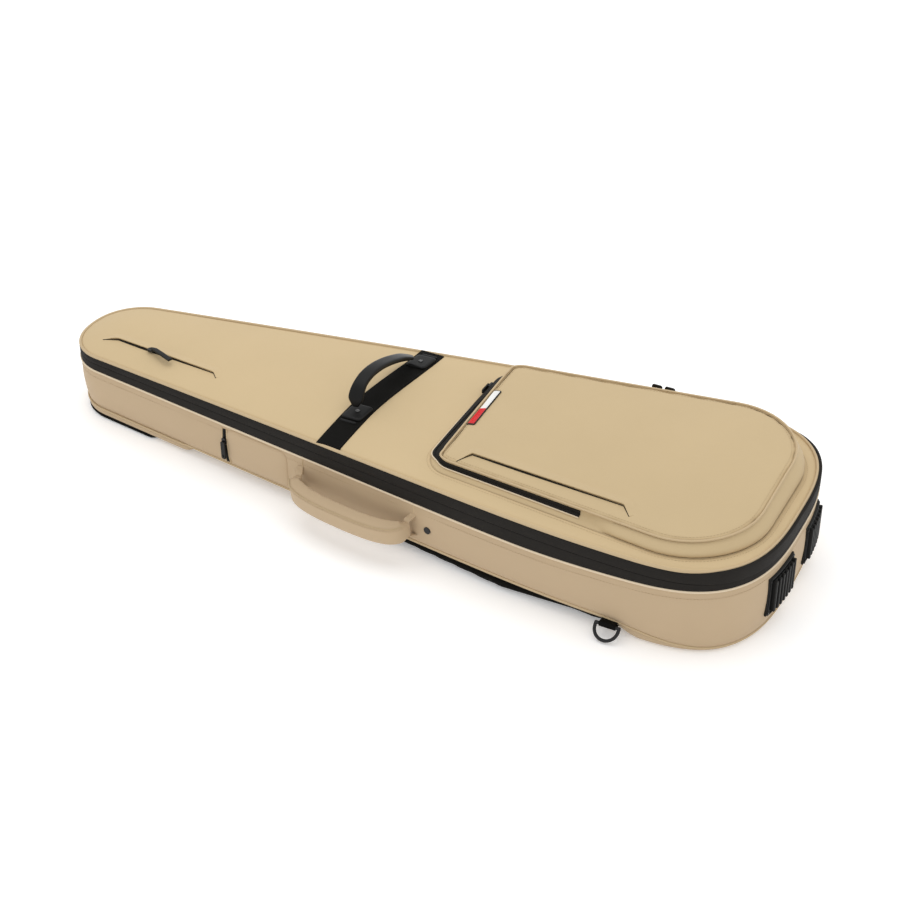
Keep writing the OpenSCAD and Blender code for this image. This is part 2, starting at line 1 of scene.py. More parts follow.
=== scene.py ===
# %% [markdown]
# # A padded guitar bag, lying on its back
# The bag is a sewn box. Its walls, zip bands, lid and piping cords all follow one outline, seen
# from above. So the lesson makes that outline first, and then lays one piece after another on it.
# Everything is in metres, in the frame of the CAD model that is loaded here.

# %% Load the frame
import math

import bmesh
import bpy
import numpy as np
from mathutils import Matrix, Vector
from mathutils.bvhtree import BVHTree


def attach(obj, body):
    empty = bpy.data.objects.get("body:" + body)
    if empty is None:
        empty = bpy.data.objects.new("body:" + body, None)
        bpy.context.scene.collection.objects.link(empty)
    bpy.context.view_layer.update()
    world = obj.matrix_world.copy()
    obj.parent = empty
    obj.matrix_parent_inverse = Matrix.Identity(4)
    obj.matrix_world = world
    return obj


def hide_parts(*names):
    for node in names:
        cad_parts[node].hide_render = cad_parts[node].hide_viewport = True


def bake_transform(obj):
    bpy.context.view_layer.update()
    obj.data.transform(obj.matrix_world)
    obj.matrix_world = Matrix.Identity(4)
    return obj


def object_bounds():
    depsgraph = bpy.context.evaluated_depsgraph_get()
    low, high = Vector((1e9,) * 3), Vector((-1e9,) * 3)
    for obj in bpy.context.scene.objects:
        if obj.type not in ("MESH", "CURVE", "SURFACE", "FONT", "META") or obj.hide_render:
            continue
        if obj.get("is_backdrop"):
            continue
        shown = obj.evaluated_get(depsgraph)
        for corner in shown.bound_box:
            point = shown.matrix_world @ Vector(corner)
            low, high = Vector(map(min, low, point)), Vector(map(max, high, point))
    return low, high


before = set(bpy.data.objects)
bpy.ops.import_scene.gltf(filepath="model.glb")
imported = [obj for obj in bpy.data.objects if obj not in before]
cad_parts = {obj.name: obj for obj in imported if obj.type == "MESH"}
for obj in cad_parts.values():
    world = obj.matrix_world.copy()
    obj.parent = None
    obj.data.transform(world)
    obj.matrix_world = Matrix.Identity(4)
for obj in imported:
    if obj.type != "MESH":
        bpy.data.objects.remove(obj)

cad_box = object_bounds()
scene = bpy.context.scene
scene.view_settings.view_transform = "Standard"
print("CAD box", [[round(v, 3) for v in corner] for corner in cad_box])

# %% [markdown]
# ## Camera, floor and light
# A long lens from above the near side shows the lid and the near wall together. The floor is plain
# and pale. A bright sky gives soft light from everywhere, and one big lamp makes the lid a little
# brighter than the walls.

# %% Camera
EYE = (0.9896, -1.7779, 1.4568)
RIGHT = (0.88609, 0.46349, -0.00586)
UP = (-0.25954, 0.50656, 0.82223)
BACK = (0.38407, -0.72703, 0.56915)
camera = bpy.data.objects.new("camera", bpy.data.cameras.new("camera"))
scene.collection.objects.link(camera)
camera.matrix_world = Matrix([(*row,) for row in zip(RIGHT, UP, BACK, EYE)] + [(0, 0, 0, 1)])
camera.data.lens = 73.09
camera.data.sensor_width = 36
scene.camera = camera
print("camera at", EYE)

# %% Lights and floor
SKY, LAMP = 0.92, 12.0
world = bpy.data.worlds.new("studio")
scene.world = world
world.use_nodes = True
world.node_tree.nodes["Background"].inputs["Color"].default_value = (1, 1, 1, 1)
world.node_tree.nodes["Background"].inputs["Strength"].default_value = SKY
lamp = bpy.data.objects.new("softbox", bpy.data.lights.new("softbox", "AREA"))
lamp.data.shape = "RECTANGLE"
lamp.data.size, lamp.data.size_y, lamp.data.energy = 2.4, 1.6, LAMP
lamp.location = (-0.1, 0.3, 1.9)
lamp.rotation_euler = (Vector((0, 0, 0.1)) - lamp.location).to_track_quat("-Z", "Y").to_euler()
scene.collection.objects.link(lamp)
print("sky", SKY, "lamp", LAMP)

# %% [markdown]
# ## Finishes
# A finish is a small tree of shader nodes. Written node by node, such a tree is long and hard to
# read. So a socket is wrapped in a class that knows +, -, * and /, and sums are written as sums.

# %% Shader maths
class Wire:
    """An output socket that can be used in Python sums."""

    def __init__(self, finish, socket):
        self.finish, self.socket = finish, socket

    def maths(self, operation, *values):
        return self.finish.node("ShaderNodeMath", {"operation": operation}, values)

    def __add__(self, other): return self.maths("ADD", self, other)
    def __sub__(self, other): return self.maths("SUBTRACT", self, other)
    def __rsub__(self, other): return self.maths("SUBTRACT", other, self)
    def __mul__(self, other): return self.maths("MULTIPLY", self, other)
    def __truediv__(self, other): return self.maths("DIVIDE", self, other)
    def __gt__(self, other): return self.maths("GREATER_THAN", self, other)
    def sine(self): return self.maths("SINE", self)
    def size(self): return self.maths("ABSOLUTE", self)
    __radd__, __rmul__ = __add__, __mul__


class Finish:
    """A material with one Principled shader, whose constants are set on its own sockets."""

    def __init__(self, name, **constants):
        self.material = bpy.data.materials.new(name)
        self.material.use_nodes = True
        self.tree = self.material.node_tree
        self.shader = self.tree.nodes["Principled BSDF"]
        for socket, value in constants.items():
            self.shader.inputs[socket.replace("_", " ")].default_value = value
        places = self.node("ShaderNodeTexCoord", {}, (), "Object")
        self.place = places
        split = self.node("ShaderNodeSeparateXYZ", {}, (places,)).socket.node
        self.x, self.y, self.z = (Wire(self, socket) for socket in split.outputs)

    def node(self, kind, settings, values, output=0):
        made = self.tree.nodes.new(kind)
        for name, value in settings.items():
            setattr(made, name, value)
        pairs = values.items() if isinstance(values, dict) else enumerate(values)
        for key, value in pairs:
            if isinstance(value, Wire):
                self.tree.links.new(value.socket, made.inputs[key])
            else:
                made.inputs[key].default_value = value
        return Wire(self, made.outputs[output])

    def noise(self, scale, detail=3.0):
        return self.node("ShaderNodeTexNoise", {}, {"Vector": self.place, "Scale": scale,
                                                    "Detail": detail}, "Fac")

    def mix(self, factor, first, second):
        made = self.tree.nodes.new("ShaderNodeMix")
        made.data_type = "RGBA"
        for socket, value in zip((made.inputs[0], made.inputs[6], made.inputs[7]),
                                 (factor, first, second)):
            if isinstance(value, Wire):
                self.tree.links.new(value.socket, socket)
            else:
                socket.default_value = value
        return Wire(self, made.outputs[2])

    def drive(self, socket, wire):
        self.tree.links.new(wire.socket, self.shader.inputs[socket])

    def bump(self, height, distance, strength=1.0):
        self.drive("Normal", self.node("ShaderNodeBump", {}, {
            "Height": height, "Distance": distance, "Strength": strength}, "Normal"))


def shade(colour, factor):
    return (*(v*factor for v in colour), 1)


print("shader helpers ready")

# %% [markdown]
# ### Cloth finishes
# The bag's tan cloth is a fine plain weave with a matte coating. The weave is the sum of three
# sine waves, one along each axis: on any face two of them show as crossing threads. Slow noise
# changes the colour a little, as dye and handling do. The black webbing is the same idea with
# coarser threads, and the plush lining is only noise.

# %% Cloth
THREAD = 2*math.pi/0.0011


def weave(finish, thread=THREAD):
    return ((finish.x*thread).sine().size() + (finish.y*thread).sine().size()
            + (finish.z*thread).sine().size())/3


def cloth(name, colour, thread=THREAD, depth=0.00006, vary=0.05, **constants):
    made = Finish(name, **{"Roughness": 0.7, "Sheen_Weight": 0.08, "Sheen_Roughness": 0.5,
                           "Specular_IOR_Level": 0.3, **constants})
    slow, fine = made.noise(9.0), made.noise(900.0, 1.0)
    threads = weave(made, thread)
    tone = slow*0.7 + fine*0.2 + threads*0.1
    made.drive("Base Color", made.mix(tone, shade(colour, 1 - vary), shade(colour, 1 + vary)))
    made.drive("Roughness", constants.get("Roughness", 0.7) - 0.08 + made.noise(40.0)*0.16)
    made.bump(threads + fine*0.6 + slow*2.0, depth)
    return made.material


TAN = (0.564, 0.43, 0.245)
tan = cloth("coated_tan_cloth", TAN)
tan_pocket = cloth("coated_tan_pocket", shade(TAN, 0.94)[:3], vary=0.06)
# The same tan cloth as the lid's, made darker: painted shade for the upright walls, which take less
# light. The base, the strap pocket, the side pocket, the handle and its tabs wear it too.
shaded_tan = cloth("coated_tan_painted_shade", (0.485, 0.362, 0.227))
tan_cord = cloth("tan_piping", (0.52, 0.395, 0.235), depth=0.00004)
# A paler copy of the piping tan: a painted highlight, the light that a round cord catches. Only the
# wall's top piping and the cord under the pocket's zip band wear it.
highlight_cord = cloth("tan_piping_painted_highlight", (0.68, 0.56, 0.40), depth=0.00004)
thread_tan = cloth("tan_thread", (0.44, 0.33, 0.19), thread=THREAD*3, depth=0.00003)
webbing = cloth("black_webbing", (0.0052, 0.0048, 0.004), thread=THREAD*0.6, depth=0.0002,
                vary=0.25, Specular_IOR_Level=0.06, Sheen_Weight=0.0)
zip_band = cloth("zip_band", (0.0145, 0.0125, 0.0105), thread=THREAD*0.7, depth=0.00012, vary=0.15,
                 Specular_IOR_Level=0.14, Sheen_Weight=0.0)
thread_black = cloth("black_thread", (0.016, 0.015, 0.014), thread=THREAD*3, Specular_IOR_Level=0.2,
                     Sheen_Weight=0.0)
plush = cloth("plush_lining", (0.16, 0.145, 0.13), thread=THREAD*2, depth=0.0004, vary=0.2,
              Sheen_Weight=0.5)
foam_cloth = cloth("foam_cover", (0.07, 0.07, 0.075), depth=0.0002, vary=0.15)
print("cloth finishes made")

# %% [markdown]
# ### Hard finishes
# Rubber and moulded plastic are smoother. Their roughness changes with a noise, darker where
# fingers polish them. The badge is one moulding: its colours are blocks cut by its own length.

# %% Hard
def hard(name, colour, roughness, metallic=0.0, grain=0.00005, scale=600.0, specular=0.5):
    made = Finish(name, Metallic=metallic, Specular_IOR_Level=specular)
    wear = made.noise(35.0)
    made.drive("Base Color", made.mix(wear, shade(colour, 0.85), shade(colour, 1.2)))
    made.drive("Roughness", roughness - 0.1 + wear*0.2)
    made.bump(made.noise(scale, 2.0), grain)
    return made


rubber = hard("black_rubber", (0.008, 0.008, 0.0075), 0.5, specular=0.22).material
strap_rubber = hard("satin_strap", (0.005, 0.005, 0.0048), 0.42, specular=0.18).material
black_metal = hard("black_metal", (0.02, 0.02, 0.021), 0.34, metallic=0.6, scale=300.0).material
rivet_metal = hard("rivet_metal", (0.13, 0.13, 0.13), 0.34, metallic=1.0, scale=300.0).material
coil_plastic = hard("coil_plastic", (0.012, 0.012, 0.012), 0.45, specular=0.2).material

badge = hard("badge_moulding", (0.9, 0.9, 0.9), 0.42, specular=0.15)
BADGE_MID, BADGE_HALF = (0.0985, 0.005), (0.0062, 0.04)
badge_red = (badge.y - BADGE_MID[1]) > -0.002
blocks = badge.mix(badge_red, (0.6, 0.012, 0.016, 1), (0.8, 0.8, 0.78, 1))
rim = ((badge.x - BADGE_MID[0]).size() > BADGE_HALF[0] - 0.0016) + (
    (badge.y - BADGE_MID[1]).size() > BADGE_HALF[1] - 0.0016)
badge.drive("Base Color", badge.mix(rim > 0.5, blocks, (0.012, 0.012, 0.012, 1)))

floor_paint = Finish("floor_paint", Roughness=0.9, Specular_IOR_Level=0.1,
                     Emission_Color=(1, 1, 1, 1), Emission_Strength=0.22)
floor_paint.drive("Base Color", floor_paint.mix(floor_paint.noise(3.0), (0.93, 0.93, 0.93, 1),
                                                (0.95, 0.95, 0.95, 1)))
print("hard finishes made")

# %% [markdown]
# ## The outline
# From above, the bag has a small round head end, two straight sides that spread, and a wide body
# with squarish round corners. A superellipse makes such corners: its power says how square they
# are. The outline starts at the head's tip and goes round by the near side, at even steps, so
# point k on the near side and point -k on the far side always face each other.

# %% Outline
END_X = 0.535
HEAD_ROUND, BODY_ROUND, HEAD_POWER, BODY_POWER = 0.064, 0.168, 2.24, 3.03


def round_off(u, power):
    return (1 - np.clip(u, 0, 1)**power)**(1/power)


def half_width(x):
    along = np.asarray(x, float) + END_X
    side, widest, soft = 0.076 + 0.138*(along - HEAD_ROUND), 0.181, 0.008
    body = np.minimum(side, widest) - soft*np.log1p(np.exp(-np.abs(side - widest)/soft))
    return (body*round_off((HEAD_ROUND - along)/HEAD_ROUND, HEAD_POWER)
            * round_off((along - 2*END_X + BODY_ROUND)/BODY_ROUND, BODY_POWER))


def resample(points, count, closed=True):
    path = np.vstack([points, points[:1]]) if closed else np.asarray(points, float)
    along = np.concatenate([[0], np.cumsum(np.linalg.norm(np.diff(path, axis=0), axis=1))])
    wanted = np.linspace(0, along[-1], count + closed)[:count]
    return np.column_stack([np.interp(wanted, along, column) for column in path.T])


def outward(loop):
    tangent = np.roll(loop, -1, 0) - np.roll(loop, 1, 0)
    normal = np.column_stack([tangent[:, 1], -tangent[:, 0]])
    return normal/np.linalg.norm(normal, axis=1, keepdims=True)


def smooth(t):
    t = np.clip(t, 0, 1)
    return t*t*(3 - 2*t)


turn = np.cos(np.linspace(0, math.pi/2, 60))
stations = np.concatenate([HEAD_ROUND*(1 - turn**(2/HEAD_POWER)),
                           np.linspace(HEAD_ROUND, 2*END_X - BODY_ROUND, 120)[1:-1],
                           (2*END_X - BODY_ROUND*(1 - turn**(2/BODY_POWER)))[::-1]]) - END_X
near_side = np.column_stack([stations, -half_width(stations)])
bag = resample(np.vstack([near_side, near_side[-2:0:-1]*(1, -1)]), 440)
bag_out = outward(bag)
print("outline of", len(bag), "points, half width", round(-float(bag[:, 1].min()), 4))

# %% [markdown]
# Four heights follow the outline: the seam under the wall, the lower edge of the black zip band,
# the closing line of the zip, and the edge of the lid. They rise a little towards the body end.

# %% Heights
def seam_z(x):
    return 0.0165 + 0.006*smooth((x + 0.1)/0.17) - 0.016*smooth((x - 0.33)/0.17)


def band_z(x):
    return 0.084 + 0.005*x + 0.012*smooth((x - 0.22)/0.33)


def split_z(x):
    return 0.101 + 0.0148*x


def lid_rise(x):
    return 0.0027*(1 - (x/0.5)**2)


def lid_edge_z(x):
    return 0.1145 + 0.0215*x + lid_rise(x)


def edge_ratio(loop, spine, x, y):
    """0 on the spine of a dome, 1 on its edge."""
    x, y = np.broadcast_arrays(np.asarray(x, float), np.asarray(y, float))
    base = np.column_stack([np.clip(x.ravel(), *spine), np.zeros(x.size)])
    ray = np.column_stack([x.ravel(), y.ravel()]) - base
    edge = np.roll(loop, -1, 0) - loop
    gap = loop[None] - base[:, None]
    with np.errstate(all="ignore"):
        cross = ray[:, None, 0]*edge[None, :, 1] - ray[:, None, 1]*edge[None, :, 0]
        reach = (gap[..., 0]*edge[None, :, 1] - gap[..., 1]*edge[None, :, 0])/cross
        hit = (gap[..., 0]*ray[:, None, 1] - gap[..., 1]*ray[:, None, 0])/cross
        reach = np.where((hit >= -1e-6) & (hit <= 1 + 1e-6) & (reach > 0), reach, np.inf)
    return (1/reach.min(axis=1)).reshape(x.shape)


BAG_SPINE = (-END_X + HEAD_ROUND, END_X - BODY_ROUND)


def lid_z(x, y):
    return lid_edge_z(x) + (0.009 - lid_rise(x))*(1 - edge_ratio(bag, BAG_SPINE, x, y)**2)


print("lid height in the middle", round(float(lid_z(0, 0)), 4))

# %% [markdown]
# ## Mesh helpers
# Three ways of making a surface cover nearly every piece. `sweep` carries a closed section along
# the outline. `dome` lays rings inside an outline and shrinks them towards its spine, so that the
# rows of faces follow the edge. `loft` carries a rounded section along any path, for straps and
# handles. Each gives a closed mesh whose faces point outwards.

# %% Mesh object
def solid(name, points, faces, sharp=50):
    mesh = bpy.data.meshes.new(name)
    mesh.from_pydata([tuple(map(float, p)) for p in points], [], faces)
    work = bmesh.new()
    work.from_mesh(mesh)
    bmesh.ops.remove_doubles(work, verts=work.verts, dist=1e-6)
    bmesh.ops.recalc_face_normals(work, faces=work.faces)
    work.to_mesh(mesh)
    work.free()
    mesh.shade_smooth()
    mesh.set_sharp_from_angle(angle=math.radians(sharp))
    made = bpy.data.objects.new(name, mesh)
    scene.collection.objects.link(made)
    return made


def grid_faces(rows, columns, wrap):
    """Quads between rows of points, with each row a closed ring."""
    return [(i*columns + j, (i + 1) % rows*columns + j, (i + 1) % rows*columns + (j + 1) % columns,
             i*columns + (j + 1) % columns)
            for i in range(rows if wrap else rows - 1) for j in range(columns)]


def sweep(name, section, part=None, loop=bag, sharp=50):
    """section(x, y) gives a closed list of (out, z); part is a range of points of the loop."""
    out = outward(loop)
    picked = range(len(loop)) if part is None else part
    rings = [[(*(loop[k] + out[k]*o), z) for o, z in section(*loop[k])] for k in picked]
    count = len(rings[0])
    faces = grid_faces(len(rings), count, part is None)
    if part is not None:
        faces += [tuple(range(count)), tuple(range((len(rings) - 1)*count, len(rings)*count))]
    return solid(name, [p for ring in rings for p in ring], faces, sharp)


def bar(low_out, high_out, low, high, radius=0.0006, steps=3):
    """A rounded rectangle as a section for sweep."""
    points = []
    for k, (o, z) in enumerate([(high_out, low), (high_out, high), (low_out, high), (low_out, low)]):
        centre = (o - radius*(1 if k < 2 else -1), z + radius*(1 if k in (0, 3) else -1))
        for a in np.linspace(-90 + 90*k, 90*k, steps):
            points.append((centre[0] + radius*math.cos(math.radians(a)),
                           centre[1] + radius*math.sin(math.radians(a))))
    return points


print("sweep and bar ready")


# %% Dome, loft and pad
def dome(name, loop, spine, rows, sharp=50):
    """Rows are (inset, share of the way to the spine, height), from below to above."""
    out, count = outward(loop), len(loop)
    middle = np.column_stack([np.clip(loop[:, 0], *spine), np.zeros(count)])
    points = []
    for inset, share, height in rows:
        ring = (1 - share)*(loop - out*inset) + share*middle
        points += [(x, y, height(x, y, share) if callable(height) else height) for x, y in ring]
    faces = grid_faces(len(rows), count, False)
    half = count//2
    for start in (0, (len(rows) - 1)*count):
        faces += [(start, start + 1, start + count - 1),
                  (start + half, start + half + 1, start + half - 1)]
        faces += [(start + k, start + k + 1, start + count - k - 1, start + count - k)
                  for k in range(1, half - 1)]
    return solid(name, points, faces, sharp)


def loft(name, path, across, width, thick, power=2.0, sides=20, sharp=60):
    """A strap or handle: a rounded section, width across and thick, along a path."""
    path = np.asarray(path, float)
    count = len(path)
    across = np.broadcast_to(np.asarray(across, float), path.shape)
    width, thick = (np.broadcast_to(v, count) for v in (width, thick))
    tangent = np.gradient(path, axis=0)
    tangent /= np.linalg.norm(tangent, axis=1, keepdims=True)
    across = across - tangent*np.sum(across*tangent, axis=1, keepdims=True)
    across /= np.linalg.norm(across, axis=1, keepdims=True)
    above = np.cross(across, tangent)
    angle = np.linspace(0, 2*math.pi, sides, endpoint=False) + math.pi/sides
    u = np.sign(np.cos(angle))*np.abs(np.cos(angle))**(2/power)/2
    v = np.sign(np.sin(angle))*np.abs(np.sin(angle))**(2/power)/2
    points = [p + a*w*i + n*t*j for p, a, n, w, t in zip(path, across, above, width, thick)
              for i, j in zip(u, v)]
    faces = grid_faces(count, sides, False)
    return solid(name, points, faces + [tuple(range(sides)),
                                        tuple(range((count - 1)*sides, count*sides))], sharp)


def level(x, y, height):
    return (x, y, height)


def pad(name, loop, rows, place=level, sharp=50):
    """A small moulded or sewn patch: rows are (inset, height), place puts it on its surface."""
    out = outward(loop)
    rings = [[place(*p, height) for p in loop - out*inset] for inset, height in rows]
    count = len(loop)
    faces = grid_faces(len(rows), count, False)
    faces += [tuple(range(count)), tuple(range((len(rows) - 1)*count, len(rows)*count))]
    return solid(name, [p for ring in rings for p in ring], faces, sharp)


def wrapped(made, place):
    """Lays a flat piece on a surface: place gives the point for x, y and a height."""
    for vertex in made.data.vertices:
        vertex.co = place(*vertex.co)
    made.data.update()
    return made


def rounded_polygon(corners, radii, steps=9):
    points = []
    for k, radius in enumerate(radii):
        a, b, c = (np.array(corners[(k + j) % len(corners)], float) for j in (-1, 0, 1))
        if radius == 0:
            points.append(b)
            continue
        u, v = (a - b)/np.linalg.norm(a - b), (c - b)/np.linalg.norm(c - b)
        half = math.acos(float(np.clip(u @ v, -1, 1)))/2
        middle = b + (u + v)/np.linalg.norm(u + v)*radius/math.sin(half)
        start, end = b + u*radius/math.tan(half) - middle, b + v*radius/math.tan(half) - middle
        first, last = math.atan2(start[1], start[0]), math.atan2(end[1], end[0])
        span = (last - first + math.pi) % (2*math.pi) - math.pi
        points += [middle + radius*np.array([math.cos(first + span*t), math.sin(first + span*t)])
                   for t in np.linspace(0, 1, steps)]
    return np.array(points)


def rounded_box(width, height, radius, middle=(0, 0), steps=6):
    corners = [(middle[0] + i*width/2, middle[1] + j*height/2)
               for i, j in ((-1, -1), (1, -1), (1, 1), (-1, 1))]
    return rounded_polygon(corners, [radius]*4, steps)


print("dome, loft and pad ready")

# %% [markdown]
# Cords, stitches, coil teeth and ribs repeat along a path. Geometry Nodes do this well: one tree
# makes a round cord along a path, and one sets a small block or bead at every step. The result
# becomes a plain mesh, and the modifier goes.

# %% Geometry Nodes
def new_tree(name, sizes):
    tree = bpy.data.node_groups.new(name, "GeometryNodeTree")
    tree.interface.new_socket("Path", in_out="INPUT", socket_type="NodeSocketGeometry")
    for label in sizes:
        tree.interface.new_socket(label, in_out="INPUT", socket_type="NodeSocketFloat")
    tree.interface.new_socket("Finish", in_out="INPUT", socket_type="NodeSocketMaterial")
    tree.interface.new_socket("Result", in_out="OUTPUT", socket_type="NodeSocketGeometry")
    inputs = tree.nodes.new("NodeGroupInput")

    def add(kind, settings=None, **links):
        made = tree.nodes.new(kind)
        for key, value in (settings or {}).items():
            if hasattr(made, key):
                setattr(made, key, value)
            else:
                made.inputs[key].default_value = value
        for key, value in links.items():
            source = inputs.outputs[value] if isinstance(value, str) else value
            tree.links.new(source, made.inputs[key.replace("_", " ")])
        return made

    def finish(geometry):
        real = add("GeometryNodeRealizeInstances", Geometry=geometry)
        dressed = add("GeometryNodeSetMaterial", Geometry=real.outputs[0], Material="Finish")
        tree.links.new(dressed.outputs[0], tree.nodes.new("NodeGroupOutput").inputs[0])
        return tree

    return add, finish


add, finish = new_tree("cord_along_path", ["Radius"])
curve = add("GeometryNodeMeshToCurve", Mesh="Path")
ring = add("GeometryNodeCurvePrimitiveCircle", {"Resolution": 8}, Radius="Radius")
cord = add("GeometryNodeCurveToMesh", {"Fill Caps": True}, Curve=curve.outputs[0],
           Profile_Curve=ring.outputs[0])
cord_tree = finish(add("GeometryNodeSetShadeSmooth", Geometry=cord.outputs[0]).outputs[0])


def repeat_tree(name, item, settings, soft):
    add, finish = new_tree(name, ["Pitch", "Across", "Tall", "Long"])
    curve = add("GeometryNodeMeshToCurve", Mesh="Path")
    level = add("GeometryNodeSetCurveNormal", {"mode": "Z_UP"}, Curve=curve.outputs[0])
    steps = add("GeometryNodeCurveToPoints", {"mode": "LENGTH"}, Curve=level.outputs[0],
                Length="Pitch")
    size = add("ShaderNodeCombineXYZ", X="Across", Y="Tall", Z="Long")
    shape = add(item, settings)
    sized = add("GeometryNodeTransform", Geometry=shape.outputs[0], Scale=size.outputs[0])
    placed = add("GeometryNodeInstanceOnPoints", Points=steps.outputs["Points"],
                 Instance=sized.outputs[0], Rotation=steps.outputs["Rotation"])
    if soft:
        placed = add("GeometryNodeSetShadeSmooth", Geometry=placed.outputs[0])
    return finish(placed.outputs[0])


bead_tree = repeat_tree("beads_along_path", "GeometryNodeMeshUVSphere",
                        {"Segments": 6, "Rings": 4, "Radius": 0.5}, True)
block_tree = repeat_tree("blocks_along_path", "GeometryNodeMeshCube", {}, False)


def along(name, paths, tree, material, closed=True, **sizes):
    """Runs a tree on one path or a list of paths, and gives a plain mesh."""
    paths = [paths] if np.ndim(paths[0]) == 1 else paths
    points, edges = [], []
    for path in paths:
        first = len(points)
        points += [tuple(map(float, p)) for p in path]
        edges += [(first + k, first + k + 1) for k in range(len(path) - 1)]
        edges += [(first + len(path) - 1, first)] if closed else []
    mesh = bpy.data.meshes.new(name)
    mesh.from_pydata(points, edges, [])
    made = bpy.data.objects.new(name, mesh)
    scene.collection.objects.link(made)
    modifier = made.modifiers.new("made", "NODES")
    modifier.node_group = tree
    wanted = {**sizes, "Finish": material}
    for item in tree.interface.items_tree:
        if item.in_out == "INPUT" and item.name in wanted:
            modifier[item.identifier] = wanted[item.name]
    found = made.evaluated_get(bpy.context.evaluated_depsgraph_get())
    result = bpy.data.meshes.new_from_object(found)
    made.modifiers.clear()
    result.materials.clear()
    result.materials.append(material)
    result.polygons.foreach_set("material_index", [0]*len(result.polygons))
    made.data = result
    return made


def stitches(name, paths, material=thread_tan, closed=True, pitch=0.0042, thick=0.0007):
    return along(name, paths, bead_tree, material, closed, Pitch=pitch, Across=thick, Tall=thick,
                 Long=pitch*0.74)


def cord_on(name, paths, radius, material=tan_cord, closed=True):
    return along(name, paths, cord_tree, material, closed, Radius=radius)


def raised(loop, out_by, height, part=None):
    """The outline as a path in space, moved out and at a height."""
    moved = loop + outward(loop)*out_by
    picked = range(len(loop)) if part is None else part
    return [(*moved[k], float(height(*moved[k]))) for k in picked]


print("node trees:", [g.name for g in bpy.data.node_groups])

# %% [markdown]
# Every piece gets a finish and rides on a body, and the CAD parts that it replaces are hidden.
# `dress` does this in one line. `bevelled` rounds the edges of hard pieces.

# %% Dress
def dress(made, body, material=None, replaces=()):
    if material:
        made.data.materials.clear()
        made.data.materials.append(material)
    if body:
        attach(made, body)
    if replaces:
        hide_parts(*replaces)
    return made


def bevelled(made, width, segments=3):
    modifier = made.modifiers.new("soft_edges", "BEVEL")
    modifier.width, modifier.segments, modifier.limit_method = width, segments, "ANGLE"
    modifier.angle_limit = math.radians(40)
    return plain(made)


def plain(made):
    """Applies the modifiers of a piece."""
    found = made.evaluated_get(bpy.context.evaluated_depsgraph_get())
    result = bpy.data.meshes.new_from_object(found)
    made.modifiers.clear()
    made.data = result
    return made


def finer(made):
    """One level of subdivision, applied."""
    modifier = made.modifiers.new("finer", "SUBSURF")
    modifier.levels = modifier.render_levels = 1
    return plain(made)


def joined(made, *others):
    """Puts the meshes of several objects, with their finishes, into the first."""
    work = bmesh.new()
    for other in (made, *others):
        finish_at = made.data.materials.find(other.data.materials[0].name) if (
            other.data.materials and made.data.materials) else 0
        if finish_at < 0:
            made.data.materials.append(other.data.materials[0])
            finish_at = len(made.data.materials) - 1
        first = len(work.faces)
        work.from_mesh(other.data)
        work.faces.ensure_lookup_table()
        for face in work.faces[first:]:
            face.material_index = finish_at
    work.to_mesh(made.data)
    work.free()
    for other in others:
        bpy.data.objects.remove(other)
    return made


floor = solid("floor", [(-9, -9, -0.0005), (9, -9, -0.0005), (9, 9, -0.0005), (-9, 9, -0.0005)],
              [(0, 1, 2, 3)])
floor.data.materials.append(floor_paint.material)
floor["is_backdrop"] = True
print("dress ready, floor laid")

# %% [markdown]
# ## Soft pads by cloth simulation
# A sewn pad swells between its seams. The mesh is remeshed to even faces, its sewn edge is
# pinned, and Cloth with a little pressure inside blows it up. How far a point may move is capped.

# %% Puff
def puff(made, voxel, pressure, cap, pinned):
    remesh = made.modifiers.new("even", "REMESH")
    remesh.mode, remesh.voxel_size = "VOXEL", voxel
    plain(made)
    count = len(made.data.vertices)
    start = np.empty(count*3)
    made.data.vertices.foreach_get("co", start)
    start = start.reshape(-1, 3)
    sewn = made.vertex_groups.new(name="sewn")
    sewn.add([int(k) for k in np.nonzero(pinned(start))[0]], 1.0, "REPLACE")
    modifier = made.modifiers.new("swell", "CLOTH")
    settings = modifier.settings
    settings.quality, settings.mass = 5, 0.3
    settings.use_pressure, settings.uniform_pressure_force = True, pressure
    settings.effector_weights.gravity = 0
    settings.vertex_group_mass = "sewn"
    modifier.point_cache.frame_start, modifier.point_cache.frame_end = 1, 20
    for step in range(1, 21):
        scene.frame_set(step)
    found = made.evaluated_get(bpy.context.evaluated_depsgraph_get())
    swollen = np.empty(count*3)
    found.data.vertices.foreach_get("co", swollen)
    move = swollen.reshape(-1, 3) - start
    far = np.linalg.norm(move, axis=1, keepdims=True)
    start = start + move*np.minimum(1, cap/np.maximum(far, 1e-9))
    made.modifiers.clear()
    made.vertex_groups.clear()
    scene.frame_set(1)
    made.data.vertices.foreach_set("co", start.ravel())
    made.data.update()
    finer(made)
    made.data.shade_smooth()
    print(made.name, "padded,", len(made.data.polygons), "faces")
    return made


def top_of(made):
    """The height of a finished piece's upper face, by a ray from above."""
    tree = BVHTree.FromObject(made, bpy.context.evaluated_depsgraph_get())

    def height(x, y):
        hit = tree.ray_cast(Vector((x, y, 1)), Vector((0, 0, -1)))[0]
        return hit.z if hit else float("nan")
    return height


# %% [markdown]
# ## The shell: wall and base
# The wall is one band of coated cloth over foam. It leans in at the foot, bulges very slightly
# and hangs in long soft waves. Piping closes it at both edges.

# %% Wall
WALL_FACE = [(-0.0115, -0.03), (-0.0075, -0.045), (-0.0045, 0.0), (-0.0028, 0.06), (-0.0014, 0.16),
             (0.0, 0.32), (0.0010, 0.5), (0.0012, 0.66), (0.0007, 0.82), (0.0, 0.93), (-0.0006, 1.0)]


def wall_section(x, y):
    low, high = seam_z(x), band_z(x)
    wave = 0.0005*math.sin(23*x + 40*y) + 0.0003*math.sin(61*x - 17*y)
    face = [(o + wave*math.sin(math.pi*max(f, 0)), low + (high - low)*f) for o, f in WALL_FACE]
    return face + [(o - 0.0016, z) for o, z in reversed(face)]
